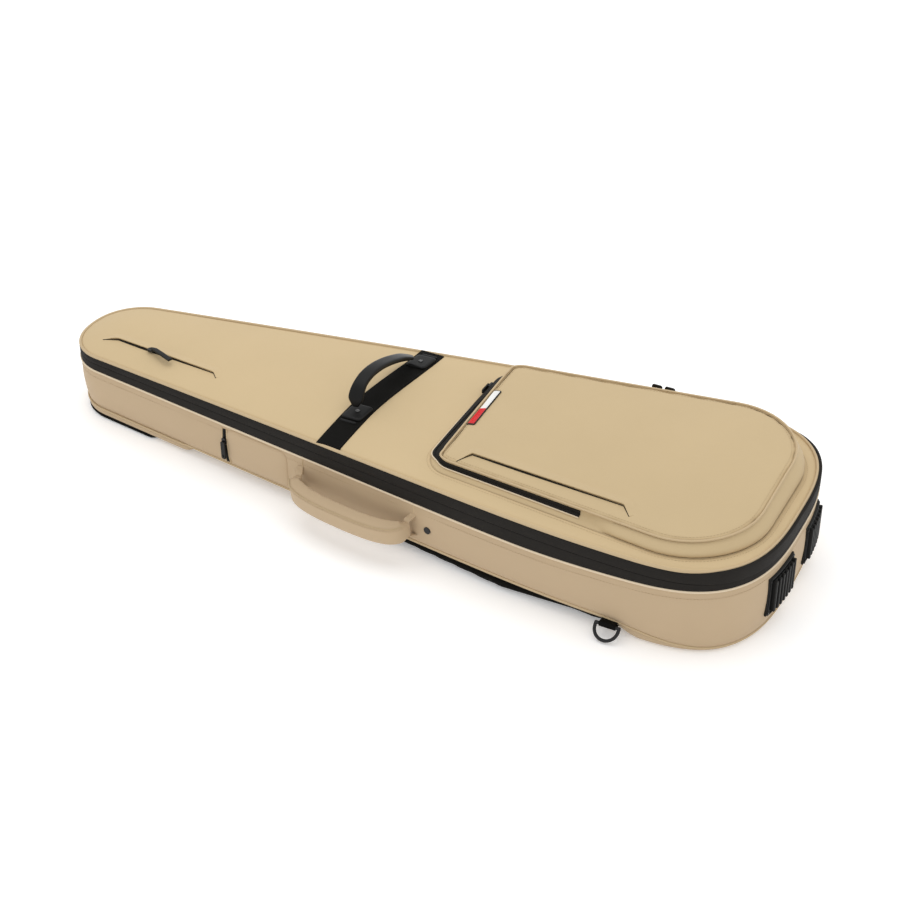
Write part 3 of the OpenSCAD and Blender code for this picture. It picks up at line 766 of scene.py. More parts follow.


# The wall wears the darker tan, whose extra darkness is painted shade.
wall = dress(sweep("wall_cloth", wall_section), "shell", shaded_tan, replaces=["side_wall"])
# The top piping wears the paler cord tan: a painted highlight along it.
dress(cord_on("wall_top_piping", raised(bag, 0.0006, lambda x, y: band_z(x)), 0.0017, highlight_cord),
      "shell", replaces=["wall_piping"])
dress(cord_on("wall_foot_piping", raised(bag, -0.0042, lambda x, y: seam_z(x) - 0.0006), 0.0015),
      "shell")
dress(stitches("wall_stitches", raised(bag, 0.0009, lambda x, y: band_z(x) - 0.011),
               thick=0.0005), "shell")
print("wall height at the middle", round(float(band_z(0) - seam_z(0)), 4))

# %% [markdown]
# Below the wall's foot seam lies the base. Under the body it rolls down to the floor. Between
# the ends it stays up, and a black pad fills the space. Under the head a flat pocket for the
# shoulder straps bulges out, with a black bumper below it.

# %% Base
def base_low(x, y, share):
    return 0.0155 - 0.015*float(smooth((x - 0.355)/0.045))


def base_side(part):
    return lambda x, y, share: base_low(x, y, share) + part*max(
        0.0004, float(seam_z(x)) - 0.001 - base_low(x, y, share))


base = dome("base_cloth", bag, BAG_SPINE, [
    (0.03, 0.97, base_low), (0.03, 0.5, base_low), (0.02, 0, base_low), (0.012, 0, base_low),
    (0.0075, 0, base_side(0.12)), (0.005, 0, base_side(0.4)), (0.0045, 0, base_side(0.75)),
    (0.0055, 0, base_side(1.0)), (0.012, 0, 0.0176), (0.03, 0.5, 0.0176), (0.03, 0.97, 0.0176)])
dress(base, "shell", shaded_tan, replaces=["back_panel"])


def head_outline(inset, end, radius):
    """The head part of the outline, closed by a straight edge with round corners."""
    edge = bag - bag_out*inset
    keep = [k for k in range(-140, 140) if edge[k][0] < end - radius]
    near = edge[max(k for k in keep)]
    corner = rounded_polygon([near, (end, near[1] - 0.138*radius), (end, -near[1] + 0.138*radius),
                              near*(1, -1)], [0, radius, radius, 0])
    return resample(np.vstack([edge[keep], corner[1:-1]]), 160)


strap_pocket = pad("strap_pocket_cloth", head_outline(0.0025, -0.306, 0.014), [
    (0.02, 0.0058), (0.004, 0.0058), (0.001, 0.0068), (0, 0.009), (0.0002, 0.0125),
    (0.0015, 0.0152), (0.005, 0.0158), (0.02, 0.0158)])
dress(strap_pocket, "shell", shaded_tan, replaces=["strap_pocket"])
bumper = pad("head_bumper_skin", head_outline(0.0028, -0.374, 0.012), [
    (0.02, 0.0002), (0.004, 0.0002), (0.0012, 0.0008), (0, 0.0025), (0.0004, 0.0046),
    (0.002, 0.0057), (0.02, 0.0057)])
dress(bumper, "shell", webbing, ["head_bumper"])
dress(cord_on("strap_pocket_piping",
              [(*p, 0.0163) for p in head_outline(0.0022, -0.304, 0.015)], 0.0012), "shell")
print("base and strap pocket made")

# %% [markdown]
# The black pad on the back is spacer mesh over foam. It is blown up by the simulation and then
# pressed flat where it carries the bag.

# %% Back pad
pad_loop = rounded_polygon(
    [(-0.018, 0), (-0.018, -0.130), (0.2, -0.1665), (0.368, -0.1665), (0.368, 0.1665),
     (0.2, 0.1665), (-0.018, 0.130)], [0, 0.03, 0.06, 0.03, 0.03, 0.06, 0.03])
pad_loop = resample(pad_loop, 180)
back_pad = dome("back_pad_mesh", pad_loop, (0.1, 0.25), [
    (0.01, 0.97, 0.0005), (0.01, 0.4, 0.0005), (0.008, 0, 0.0008), (0.002, 0, 0.003),
    (0, 0, 0.008), (0.001, 0, 0.013), (0.004, 0, 0.0152), (0.02, 0.4, 0.0152), (0.02, 0.97, 0.0152)])
puff(back_pad, 0.005, 2.0, 0.004, lambda p: p[:, 2] > 0.012)
low_points = np.empty(len(back_pad.data.vertices)*3)
back_pad.data.vertices.foreach_get("co", low_points)
low_points[2::3] = np.clip(low_points[2::3], 0.0, 0.0154)
back_pad.data.vertices.foreach_set("co", low_points)
dress(back_pad, "shell", webbing, ["back_pad"])
print("back pad made")

# %% [markdown]
# ## The zip bands
# Two black bands meet on the closing line. Each is a folded tape with a soft edge, and behind the
# two edges run the coils of the zip, one tooth every 2.4 mm.

# %% Bands and coils
def lower_band(x, y):
    return bar(-0.0018, 0.0011, band_z(x) + 0.0002, split_z(x) - 0.0002, 0.0004, 4)


def end_roll(x):
    """0 along the sides; 1 at the body end, where the band stands up round the lid's edge."""
    return float(smooth((x - 0.44)/0.07))


def upper_band(x, y):
    roll_up = end_roll(x)
    return bar(-0.0018, 0.0011 + 0.0012*roll_up, split_z(x) + 0.0002,
               lid_edge_z(x) - 0.0012 + 0.0026*roll_up, 0.0004 + 0.0008*roll_up, 4)


dress(sweep("lower_zip_band", lower_band), "shell", zip_band, ["lower_zip_tape"])
dress(sweep("upper_zip_band", upper_band), "lid", zip_band, ["upper_zip_tape"])
for name, body, side, node in (("lower_teeth", "shell", -1, "lower_coil"),
                               ("upper_teeth", "lid", 1, "upper_coil")):
    teeth = along(name, raised(bag, -0.0026, lambda x, y: split_z(x) + side*0.0011), block_tree,
                  coil_plastic, Pitch=0.0024, Across=0.0022, Tall=0.0014, Long=0.0013)
    dress(teeth, body, replaces=[node])
for name, body, height in (("lower_band_stitches", "shell", lambda x, y: band_z(x) + 0.0045),
                           ("upper_band_stitches", "lid", lambda x, y: lid_edge_z(x) - 0.0055)):
    dress(stitches(name, raised(bag, 0.0011, height), thread_black, thick=0.0006), body)
print("bands, coils and their stitches made")

# %% [markdown]
# On the far side the zip stops and a strip of black cloth is the hinge. It rides on no body, and its
# transform is baked where it lies.

# %% Hinge strip
hinge_part = [k for k in range(220, 440) if -0.300 < bag[k][0] < 0.180]


def hinge_section(x, y):
    heights = split_z(x) + np.linspace(-0.0115, 0.0085, 15)
    return [(0.0022, z) for z in heights] + [(0.0012, z) for z in heights[::-1]]


hinge = sweep("hinge_strip_cloth", hinge_section, hinge_part)
dress(hinge, None, webbing, ["hinge_strip"])
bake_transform(hinge)
print("hinge strip of", len(hinge_part), "stations")

# %% [markdown]
# ## The inside
# It shows when the lid is open: a plush floor and wall, the padded underside of the lid, a neck
# cradle with its strap, and blocks at both ends.

# %% Linings
def wall_pad(x, y):
    """Its outer face leans in at the foot, as the wall does."""
    high = split_z(x) - 0.0012
    face = bar(-0.0188, -0.0021, 0.0308, high, 0.004, 5)
    return [(o - 0.006*float(smooth((0.075 - z)/0.045)) if o > -0.008 else o, z) for o, z in face]


dress(sweep("wall_lining", wall_pad),
      "shell", plush, ["side_foam", "side_lining"])
dress(dome("floor_lining", bag, BAG_SPINE, [
    (0.011, 0.97, 0.0184), (0.011, 0, 0.0184), (0.0095, 0, 0.0195), (0.0085, 0, 0.029),
    (0.0095, 0, 0.0306), (0.0185, 0, 0.0308), (0.03, 0.1, 0.0312), (0.03, 0.5, 0.0314),
    (0.03, 0.97, 0.0314)]), "shell", plush, ["back_foam", "back_lining"])


def lid_under(depth):
    return lambda x, y, share: split_z(x) + depth


dress(dome("lid_lining_pad", bag, BAG_SPINE, [
    (0.03, 0.97, lid_under(0.0012)), (0.03, 0.4, lid_under(0.0012)), (0.012, 0, lid_under(0.0008)),
    (0.006, 0, lid_under(0.0012)), (0.003, 0, lid_under(0.003)), (0.0022, 0, lid_under(0.006)),
    (0.0022, 0, lambda x, y, s: lid_edge_z(x) - 0.0022),
    (0.03, 0.97, lambda x, y, s: lid_edge_z(x) - 0.0022)]),
    "lid", plush, ["lid_foam", "lid_lining"])
dress(cord_on("wall_lining_piping",
              raised(bag, -0.0188, lambda x, y: split_z(x) - 0.002), 0.0012, webbing), "shell")
print("linings made")

# %% Cradle and blocks
CRADLE = (-0.1498, -0.0902)
cradle_rings = []
for x in (CRADLE[0], -0.135, -0.105, CRADLE[1]):
    reach, grow = float(half_width(x)) - 0.0193, 0.0015 if CRADLE[0] < x < CRADLE[1] else 0
    cradle_rings.append([(x, y, z) for y, z in (
        (-reach, 0.0316), (reach, 0.0316), (reach, 0.0715 + grow), (0.0365 - grow, 0.0715 + grow),
        (0.0365 - grow, 0.0462), (-0.0365 + grow, 0.0462), (-0.0365 + grow, 0.0715 + grow),
        (-reach, 0.0715 + grow))])
cradle = solid("neck_cradle_pad", [p for ring in cradle_rings for p in ring],
               grid_faces(4, 8, False) + [tuple(range(8)), tuple(range(24, 32))], 30)
dress(bevelled(cradle, 0.005, 4), "shell", foam_cloth, ["neck_cradle"])
neck_strap = loft("neck_strap_webbing",
                  [(-0.12, y, 0.0745 - 0.0009*math.cos(y/0.061*math.pi/2))
                   for y in np.linspace(-0.061, 0.061, 21)], (1, 0, 0), 0.025, 0.0016, 8)
strap_ends = stitches("neck_strap_stitches", [[(-0.12 + dx, y, 0.0754) for dx in (-0.008, 0.008)]
                                              for y in (-0.054, -0.05, 0.05, 0.054)], thread_black,
                      False)
neck_strap.data.materials.append(webbing)
dress(joined(neck_strap, strap_ends), "shell", replaces=["neck_strap"])


BLOCK = (0.0316, 0.055)


def block_rows(low, high):
    return [(0.002, low), (0, low + 0.002), (0, high - 0.0045), (0.0007, high - 0.0022),
            (0.002, high - 0.0007), (0.0036, high)]


def end_block(side):
    inner = bag - bag_out*0.0193
    arc = [inner[k] for k in range(150, 291) if inner[k][0] > 0.478 and inner[k][1]*side > 0.030]
    ends = [(0.478, arc[0][1] if side < 0 else arc[-1][1])]
    corner = [(0.478, side*0.030), (inner[220][0], side*0.030)]
    loop = arc + (corner[::-1] + ends if side < 0 else ends + corner)
    return pad("end_block", resample(np.array(loop), 60), block_rows(*BLOCK))


blocks_pair = end_block(-1)
far_block = end_block(1)
for block in (blocks_pair, far_block):
    block.data.materials.append(foam_cloth)
blocks_pair.name = "end_blocks_pad"
dress(joined(blocks_pair, far_block), "shell", replaces=["end_blocks"])
head_pad = pad("headstock_pad_foam", resample(head_outline(0.0193, -0.478, 0.004), 90),
               block_rows(*BLOCK))
dress(head_pad, "shell", foam_cloth, ["headstock_pad"])
print("cradle, strap and blocks made")

# %% [markdown]
# ## Pieces on the near wall
# A small zipped pocket has a raised panel. `on_wall` takes a place along the wall, a height and
# a distance out from it, so a flat patch can be laid on the wall.

# %% Side pocket
WALL_TURN = math.atan(0.138)


def on_wall(x, z, out):
    return (x - out*math.sin(WALL_TURN), -float(half_width(x)) - out*math.cos(WALL_TURN), z)


def wall_bulge(x, z):
    f = (z - float(seam_z(x)))/float(band_z(x) - seam_z(x))
    return float(np.interp(f, [p[1] for p in WALL_FACE[2:]], [p[0] for p in WALL_FACE[2:]]))


def on_wall_cloth(x, z, out):
    return on_wall(x, z, out + wall_bulge(x, z))


PANEL_MID = 0.0505
panel_loop = rounded_polygon([(-0.2335, -0.029), (-0.128, -0.029), (-0.128, 0.029),
                              (-0.2335, 0.029)], [0.012]*4)
panel_loop = resample(panel_loop, 96)
side_panel = dome("side_pocket_cloth", panel_loop, (-0.21, -0.15), [
    (0.003, 0.9, -0.003), (0.003, 0, -0.003), (0, 0, -0.0010), (0.0008, 0, 0.0004),
    (0.0024, 0, 0.0013), (0.006, 0, 0.0020), (0.011, 0, 0.0024), (0.011, 0.3, 0.0026),
    (0.011, 0.9, 0.0026)])
wrapped(side_panel, lambda x, y, h: on_wall_cloth(x, y + PANEL_MID, h))
dress(side_panel, "shell", shaded_tan, replaces=["side_pocket"])
side_zip = pad("side_zip_tape", resample(rounded_box(0.0058, 0.055, 0.001, (-0.2365, 0.0485)), 60),
               [(0.001, -0.001), (0, 0), (0, 0.0006), (0.0006, 0.0011), (0.0012, 0.0012)],
               on_wall_cloth)
side_zip.data.materials.append(zip_band)
side_teeth = along("side_teeth", [on_wall_cloth(-0.2365, z, 0.0012) for z in (0.023, 0.048, 0.074)],
                   block_tree, coil_plastic, False, Pitch=0.002, Across=0.0012, Tall=0.0028,
                   Long=0.0011)
dress(joined(side_zip, side_teeth), "shell", replaces=["side_pocket_zip"])
welts = [[on_wall_cloth(-0.2365 + dx, z, 0.0006) for z in np.linspace(0.0205, 0.0765, 15)]
         for dx in (-0.0042, 0.0038)]
dress(cord_on("side_zip_welts", welts, 0.0009, tan_cord, False), "shell")
print("side pocket made")

# %% [markdown]
# ## The carrying handle
# It is a padded roll of the bag's cloth with a flat top and a flat outer face, which meet in a
# seam. It leaves the wall steeply and runs flat in between, so its middle line is a superellipse
# too. Its ends narrow and turn in two cloth loops.

# %% Handle path
HANDLE_X, HANDLE_Z, HALF_SPAN, BULGE, KNUCKLE = -0.0125, 0.052, 0.088, 0.0265, 0.0114
DROOP, ROUND = math.radians(8), 2.7


def handle_point(turn, out=0.0, up=0.0):
    """A point near the handle's middle line: out from the wall and up in the handle's own frame."""
    sine, cosine = math.sin(turn), math.cos(turn)
    x = HALF_SPAN*math.copysign(abs(sine)**(2/ROUND), sine)
    y = -BULGE*max(cosine, 0)**(2/ROUND)
    slope_x = math.copysign(abs(x/HALF_SPAN)**(ROUND - 1), x)/HALF_SPAN
    slope_y = -abs(y/BULGE)**(ROUND - 1)/BULGE
    length = math.hypot(slope_x, slope_y)
    x, y, z = x + out*slope_x/length, y + out*slope_y/length, up
    y, z = y*math.cos(DROOP) - z*math.sin(DROOP), y*math.sin(DROOP) + z*math.cos(DROOP)
    y -= KNUCKLE
    turned = (x*math.cos(WALL_TURN) + y*math.sin(WALL_TURN),
              -x*math.sin(WALL_TURN) + y*math.cos(WALL_TURN))
    return np.array([turned[0] + HANDLE_X, turned[1] - float(half_width(HANDLE_X)), z + HANDLE_Z])


even = np.linspace(-1, 1, 61)
turns = math.pi/2*np.sign(even)*(1 - (1 - np.abs(even))**1.5)
middle_line = np.array([handle_point(a) for a in turns])
up_line = np.array([handle_point(a, 0, 0.01) - handle_point(a) for a in turns])
share = 1 - np.abs(turns)/(math.pi/2)
tall = 0.0195 + 0.010*smooth(share/0.2)
deep = 0.0125 + 0.0085*smooth(share/0.5)
handle = loft("side_handle_roll", middle_line, up_line, tall, deep, 5.0, 36)
dress(finer(handle), "side_grip", shaded_tan, replaces=["side_handle"])
inside = [(a, t, d) for a, t, d, s in zip(turns, tall, deep, share) if s > 0.16]
seam = [handle_point(a, d*0.478, t*0.478) for a, t, d in inside]
dress(cord_on("side_handle_seam", [seam], 0.0008, thread_tan, False), "side_grip")
dress(stitches("side_handle_stitches", [[handle_point(a, d*0.5, t*0.36) for a, t, d in inside]],
               closed=False, thick=0.0005), "side_grip")
print("handle of", len(turns), "stations")

# %% Handle tabs and panel seams
tab_pieces = []
for side in (-1, 1):
    middle = handle_point(side*math.pi/2*0.999)
    root = np.array(on_wall_cloth(float(middle[0]) + side*0.004, 0.052, 0.0002))
    path = [root + (0, 0.0005, 0.0165), root + (0, -0.0012, 0.0145),
            (root + middle)/2 + (0, 0, 0.0135), middle + (0, 0, 0.0115), middle + (0, -0.0015, 0),
            middle + (0, 0, -0.0115), (root + middle)/2 + (0, 0, -0.0135),
            root + (0, -0.0012, -0.0145), root + (0, 0.0005, -0.0165)]
    path = resample(np.array(path), 25, False)
    tab_pieces.append(loft("tab", path, (math.cos(WALL_TURN), -math.sin(WALL_TURN), 0), 0.009,
                           0.0022, 6))
    tab_pieces[-1].data.materials.append(shaded_tan)
tab_pieces[0].name = "side_handle_tab_cloth"
dress(joined(*tab_pieces), "shell", replaces=["side_handle_tabs"])
seams = [[on_wall_cloth(x, z, 0.0001) for z in np.linspace(0.056, float(band_z(x)) - 0.002, 12)]
         for x in (-0.102, 0.078)]
dress(cord_on("wall_panel_seams", seams, 0.0007, tan_cord, False), "shell")
print("handle tabs made")

# %% [markdown]
# ## Feet and rings
# Two rubber feet with upright ribs let the bag stand on its body end. A foot is a curved plate,
# a rim round it and ribs set by Geometry Nodes.

# %% Feet
FOOT_LOW, FOOT_HIGH = 0.027, 0.084
for name, node, side in (("foot_near_rubber", "foot_near", -1), ("foot_far_rubber", "foot_far", 1)):
    fine = resample(bag, 1760)
    part = [k for k in range(660, 1100) if 0.025 < fine[k][1]*side < 0.092 and fine[k][0] > 0.4]
    plate = sweep(name, lambda x, y: bar(0.0002, 0.003, FOOT_LOW, FOOT_HIGH, 0.0012, 4), part, fine)
    plate.data.materials.append(rubber)
    fine_out = outward(fine)

    def at(k, out, z):
        return (*(fine[k] + fine_out[k]*out), z)

    edge = part[2:-2]
    rim = [at(k, 0.0032, FOOT_LOW + 0.0016) for k in edge]
    rim += [at(k, 0.0032, FOOT_HIGH - 0.0016) for k in edge[::-1]]
    parts = [cord_on("rim", [rim], 0.0013, rubber)]
    for z in (FOOT_LOW + 0.0065, FOOT_HIGH - 0.0065):
        inner = part[8:-8]
        bars_at = [at(k, 0.0042, z) for k in inner]
        parts.append(cord_on("rail", [bars_at], 0.0011, rubber, False))
    middle = [at(k, 0.0055, (FOOT_LOW + FOOT_HIGH)/2) for k in part[7:-4]]
    ribs = along("ribs", [middle], block_tree, rubber, False, Pitch=0.0078, Across=0.0066,
                 Tall=0.0465, Long=0.0046)
    parts.append(bevelled(ribs, 0.0013, 2))
    dress(joined(plate, *parts), "shell", replaces=[node])
print("feet made")

# %% Ring tabs
RING_X, WIRE_AT = 0.362, (0.1831, 0.0175)
tab_pieces = []
for side in (-1, 1):
    turns = [(side*(WIRE_AT[0] + 0.0034*math.cos(a)), WIRE_AT[1] + 0.0034*math.sin(a))
             for a in np.linspace(math.radians(-100), math.radians(110), 12)]
    path = [(side*0.166, 0.0150), (side*0.176, 0.0147)] + turns + [(side*0.1775, 0.0196),
                                                                  (side*0.168, 0.0192)]
    path = resample(np.array([(RING_X, y, z) for y, z in path]), 40, False)
    tab_pieces.append(loft("tab", path, (1, 0, 0), 0.022, 0.0012, 6))
    tab_pieces[-1].data.materials.append(webbing)
tab_pieces[0].name = "d_ring_loops"
dress(joined(*tab_pieces), "shell", replaces=["d_ring_tabs"])
print("ring loops made")

# %% [markdown]
# ## The lid
# One panel of cloth over foam, domed by 9 mm. A piping cord closes its edge, with a shallow crease
# just inside the cord. At the body end the cord lies further in and the black band stands round it.

# %% Lid
def lid_height(x, y, share):
    r = 1 - share
    wrinkle = 0.00035*math.sin(31*x + 23*y) * (1 - r*r)
    crease = 0.0013*math.exp(-((share - 0.034)/0.011)**2)
    return lid_edge_z(x) + (0.009 - lid_rise(x))*(1 - r*r) + wrinkle - crease


def below_edge(drop):
    return lambda x, y, share: lid_edge_z(x) - drop


SHARES = (0.006, 0.014, 0.024, 0.034, 0.044, 0.056, 0.08, 0.12, 0.17, 0.23, 0.3, 0.38, 0.47, 0.57,
          0.68, 0.8, 0.9, 0.97)
rows = [(0.03, 0.97, below_edge(0.0018)), (0.003, 0, below_edge(0.0018)),
        (0.0006, 0, below_edge(0.0012)), (0.0, 0, below_edge(0.0003))]
rows += [(0, share, lid_height) for share in SHARES]
lid = dress(dome("lid_cloth", bag, BAG_SPINE, rows), "lid", tan, replaces=["lid_panel"])
edge_cord = [(*(p - n*(0.0008 + 0.003*end_roll(p[0]))), float(lid_edge_z(p[0])) + 0.0001)
             for p, n in zip(bag, bag_out)]
dress(cord_on("lid_edge_piping", edge_cord, 0.0021), "lid", replaces=["lid_piping"])
print("lid crown at the middle", round(float(lid_z(-0.05, 0)), 4))

# %% [markdown]
# ## Strap and grip on the lid
# A black strap crosses the lid. A moulded grip bows up from two tabs on it, each held by a rivet
# and a row of stitches.

# %% Strap
GRIP_Y, RIVET_HALF = 0.022, 0.075


def strap_x(y):
    """The strap is sewn on slightly askew: its far end lies nearer the body."""
    return -0.0590 + 0.0145*smooth((np.asarray(y, float) + 0.06)/0.185)


def on_strap(x, y, out):
    return (x, y, float(lid_z(x, y)) + 0.0020 + out)


def along_strap(dx, dy, out, middle):
    y = middle + dy
    return on_strap(float(strap_x(middle)) + dx + 0.08*dy, y, out)


reach = float(half_width(-0.055)) - 0.0025
strap_path = [(float(strap_x(y)), y, float(lid_z(strap_x(y), y)) + 0.0011)
              for y in np.linspace(-reach, reach, 61)]
strap = loft("lid_strap_webbing", strap_path, (1, 0, -0.0215), 0.0355, 0.0017, 10, 24)
dress(strap, "lid", webbing, ["lid_strap"])
edges = [[on_strap(float(strap_x(y)) + dx, y, 0.0001)
          for y in np.linspace(-reach + 0.003, reach - 0.003, 50)] for dx in (-0.0155, 0.0155)]
dress(stitches("lid_strap_stitches", edges, thread_black, False, thick=0.0005), "lid")
tabs, bars = [], []
for side in (-1, 1):
    y = GRIP_Y + side*(RIVET_HALF + 0.001)
    tabs.append(pad("tab", resample(rounded_box(0.0295, 0.034, 0.005), 56),
                    [(0.001, -0.0006), (0, 0), (0, 0.0016), (0.0007, 0.0025), (0.0016, 0.0029),
                     (0.004, 0.0030)], lambda dx, dy, h: along_strap(dx, dy, h, y)))
    tabs[-1].data.materials.append(strap_rubber)
    bars.append(pad("bar", resample(rounded_box(0.024, 0.0042, 0.002, (0, side*0.0215)), 40),
                    [(0.0005, -0.0006), (0, 0.0002), (0.0006, 0.0011), (0.0014, 0.0013)],
                    lambda dx, dy, h: along_strap(dx, dy, h, y)))
    bars[-1].data.materials.append(strap_rubber)
tabs[0].name = "grip_tab_mouldings"
dress(joined(*tabs, *bars), "lid", replaces=["grip_tabs"])
rivets = [[along_strap(0, d, 0.0034, GRIP_Y + side*RIVET_HALF) for d in (-0.0003, 0.0003)]
          for side in (-1, 1)]
dress(along("grip_rivet_heads", rivets, bead_tree, rivet_metal, False, Pitch=1.0, Across=0.0075,
            Tall=0.0026, Long=0.006), "lid", replaces=["grip_rivets"])
print("strap and tabs made")

# %% Grip
# The arch is one Bezier curve of (y, z): steep at the near foot, sloping gently to the far one.
AXIS_X, AXIS_Z = -0.060545, 0.1314
GRIP_CURVE = np.array([(-0.0525, AXIS_Z), (-0.050, 0.180), (0.020, 0.167), (0.0915, AXIS_Z)])
t = np.linspace(0, 1, 61)[:, None]
grip_curve = ((1 - t)**3*GRIP_CURVE[0] + 3*t*(1 - t)**2*GRIP_CURVE[1] + 3*t*t*(1 - t)*GRIP_CURVE[2]
              + t**3*GRIP_CURVE[3])
grip_curve = resample(grip_curve, 61, False)
lean = 0.03*grip_curve[:, 0] - 0.05*(grip_curve[:, 1] - AXIS_Z)
grip_path = np.column_stack([AXIS_X + lean, grip_curve])
from_end = np.minimum(np.arange(61), np.arange(61)[::-1])/60
flare = 0.009 + 0.013*smooth(from_end/0.07) - 0.0035*smooth((from_end - 0.07)/0.15)
grip = loft("grip_moulding", grip_path, (1, 0, 0), flare, 0.0045 + 0.0028*smooth(from_end/0.2), 5,
            24)
dress(finer(grip), "grip", strap_rubber, ["grip_handle"])
print("grip made")

# %% [markdown]
# ## Slash pockets
# A slash pocket is a cut. The cloth on the far side of the cut laps over it as a
# soft ridge that ends in two short bent ends. The ridge is a section carried along the cut.
# In front of the ridge a dark strip shows: the zip on the head, and painted shade of the opening on
# the pocket face.

# %% Slash helper
def slash(name, corners, top, width=0.014, height=0.0036, count=72, opening=0.0042):
    """A ridge of cloth along a cut, and the path and widths of the dark strip that shows in front of
    it.
    """
    line = resample(np.array(corners, float), count, False)
    tangent = np.gradient(line, axis=0)
    tangent /= np.linalg.norm(tangent, axis=1, keepdims=True)
    far = np.column_stack([-tangent[:, 1], tangent[:, 0]])
    from_end = np.minimum(np.arange(count), np.arange(count)[::-1])/(count - 1)
    from_head = np.arange(count)/(count - 1)
    rise = 0.12 + 0.88*smooth(from_end/0.09)
    section = [(width, -0.0004), (width, 0.0), (width*0.75, 0.12), (width*0.5, 0.38),
               (width*0.28, 0.72), (width*0.1, 0.96), (0.0, 1.0), (-0.0006, 0.88), (-0.0005, 0.66),
               (0.0002, 0.5), (0.0012, 0.4), (0.002, -0.0004)]
    points = []
    for p, f, r in zip(line, far, rise):
        for out, share in section:
            x, y = p + f*out*(0.35 + 0.65*r)
            lift = share if share < 0 else share*height*r
            points.append((x, y, top(x, y) + lift + 0.0001))
    wide = len(section)
    ridge = solid(name, points, grid_faces(count, wide, False)
                  + [tuple(range(wide)), tuple(range((count - 1)*wide, count*wide))], 60)
    # The strip is widest where the cut gapes: painted shade of the opening there.
    gape = np.sin(math.pi*np.clip((from_head - 0.06)/0.86, 0, 1))**0.7*(1.3 - from_head)
    strip_line = line - far*0.0006
    path = [(x, y, top(x, y) - 0.0001) for x, y in strip_line]
    return ridge, path, opening*(0.28 + 0.72*gape)


head_cut = [(-0.486, -0.038), (-0.463, -0.0305), (-0.290, -0.0485), (-0.281, -0.057)]
ridge, zip_path, gape = slash("head_slash_cloth", head_cut, lambda x, y: float(lid_z(x, y)))
dress(ridge, "lid", tan, replaces=["head_slash_lip"])
head_zip = loft("head_slash_tape", zip_path, (0.066, 0.998, 0), gape, 0.0016, 5)
dress(head_zip, "lid", zip_band, ["head_slash_zip"])
print("head slash made")

# %% [markdown]
# ## The accessory pocket
# A flat bag sewn on the lid: a low wall of cloth, the gusset, rises from a double seam, a black
# zip band runs round its head corner, and a padded face closes it. The face stands higher on the
# far side. The wall's profile changes along the way.

# %% Pocket outline
POCKET = (0.077, 0.509)
POCKET_SPINE = (0.19, 0.36)


def pocket_half(x):
    return 0.116 + 0.115*(x - POCKET[0])


pocket = rounded_polygon(
    [(POCKET[0], 0), (POCKET[0], -pocket_half(POCKET[0])), (POCKET[1], -pocket_half(POCKET[1])),
     (POCKET[1], pocket_half(POCKET[1])), (POCKET[0], pocket_half(POCKET[0]))],
    [0, 0.034, 0.102, 0.102, 0.034], 14)
pocket = resample(pocket, 320)
FACE_THICK = 0.008


def head_share(x):
    """1 along the pocket's head edge, 0 from 11 mm behind it."""
    return smooth((POCKET[0] + 0.011 - x)/0.011)


def face_inset(x):
    """The face lies further in along the head edge, so that the zip shows there from above."""
    return 0.007 + 0.0065*head_share(x)


face_loop = pocket - outward(pocket)*face_inset(pocket[:, 0])[:, None]


def face_edge_z(x, y):
    side = np.clip((y/pocket_half(x) + 1)/2, 0, 1)
    near = 0.134 + 0.0243*(x - POCKET[0])
    far = 0.150 + 0.0255*(x - POCKET[0])
    return near + (far - near)*side


print("pocket wall height, near and far",
      [round(float(face_edge_z(x, y) - lid_z(x, y)), 4) for x, y in (pocket[100], pocket[-100])])

# %% Gusset
# How far in the wall of the pocket has come at each share of its height. Along the zip it is
# hollow, at the head edge it is a low step with a slope on it, and behind the zip it swells out.
RISE = (0.0, 0.03, 0.09, 0.2, 0.3, 0.42, 0.5, 0.58, 0.66, 0.78, 0.9, 1.0)
ALONG_ZIP = (0.0, 0.16, 0.34, 0.55, 0.66, 0.78, 0.84, 0.9, 0.93, 0.97, 0.99, 1.0)
HEAD_EDGE = (0.0, 0.0, 0.01, 0.03, 0.06, 0.12, 0.24, 0.4, 0.56, 0.78, 0.94, 1.0)
BEHIND_ZIP = (0.22, 0.1, 0.0, -0.06, -0.05, 0.05, 0.15, 0.28, 0.42, 0.66, 0.88, 1.0)


def inward(x, rise):
    """The share of the way in at a share of the height, for a place along the pocket."""
    head, behind = float(head_share(x)), float(smooth((x - 0.31)/0.05))
    return (np.interp(rise, RISE, ALONG_ZIP)*(1 - head - behind)
            + np.interp(rise, RISE, HEAD_EDGE)*head + np.interp(rise, RISE, BEHIND_ZIP)*behind)


def gusset_section(x, y):
    low = float(lid_z(x, y)) + 0.0002
    high = float(face_edge_z(x, y)) - 0.0012
    face = [(0.0045 - (0.0045 + float(face_inset(x)))*inward(x, rise), low + (high - low)*rise)
            for rise in RISE]
    return [(0.004, low - 0.0012)] + face + [(o - 0.0022, z) for o, z in reversed(face)]


gusset = sweep("pocket_gusset_cloth", gusset_section, loop=pocket)
dress(gusset, "lid", tan_pocket, replaces=["pocket_gusset"])
for k, out in enumerate((0.0052, 0.0092)):
    dress(stitches(f"pocket_base_stitches_{k}",
                   raised(pocket, out, lambda x, y: float(lid_z(x, y)) + 0.0001), thick=0.0006),
          "lid")
# A thin cord in the darker thread tan lies along the foot of the gusset: painted shade in the crease
# where the pocket meets the lid.
crease_shade_cord = raised(pocket, 0.0045, lambda x, y: float(lid_z(x, y)) + 0.0003)
dress(cord_on("pocket_base_crease_shade", crease_shade_cord, 0.0008, thread_tan), "lid")
print("gusset made")

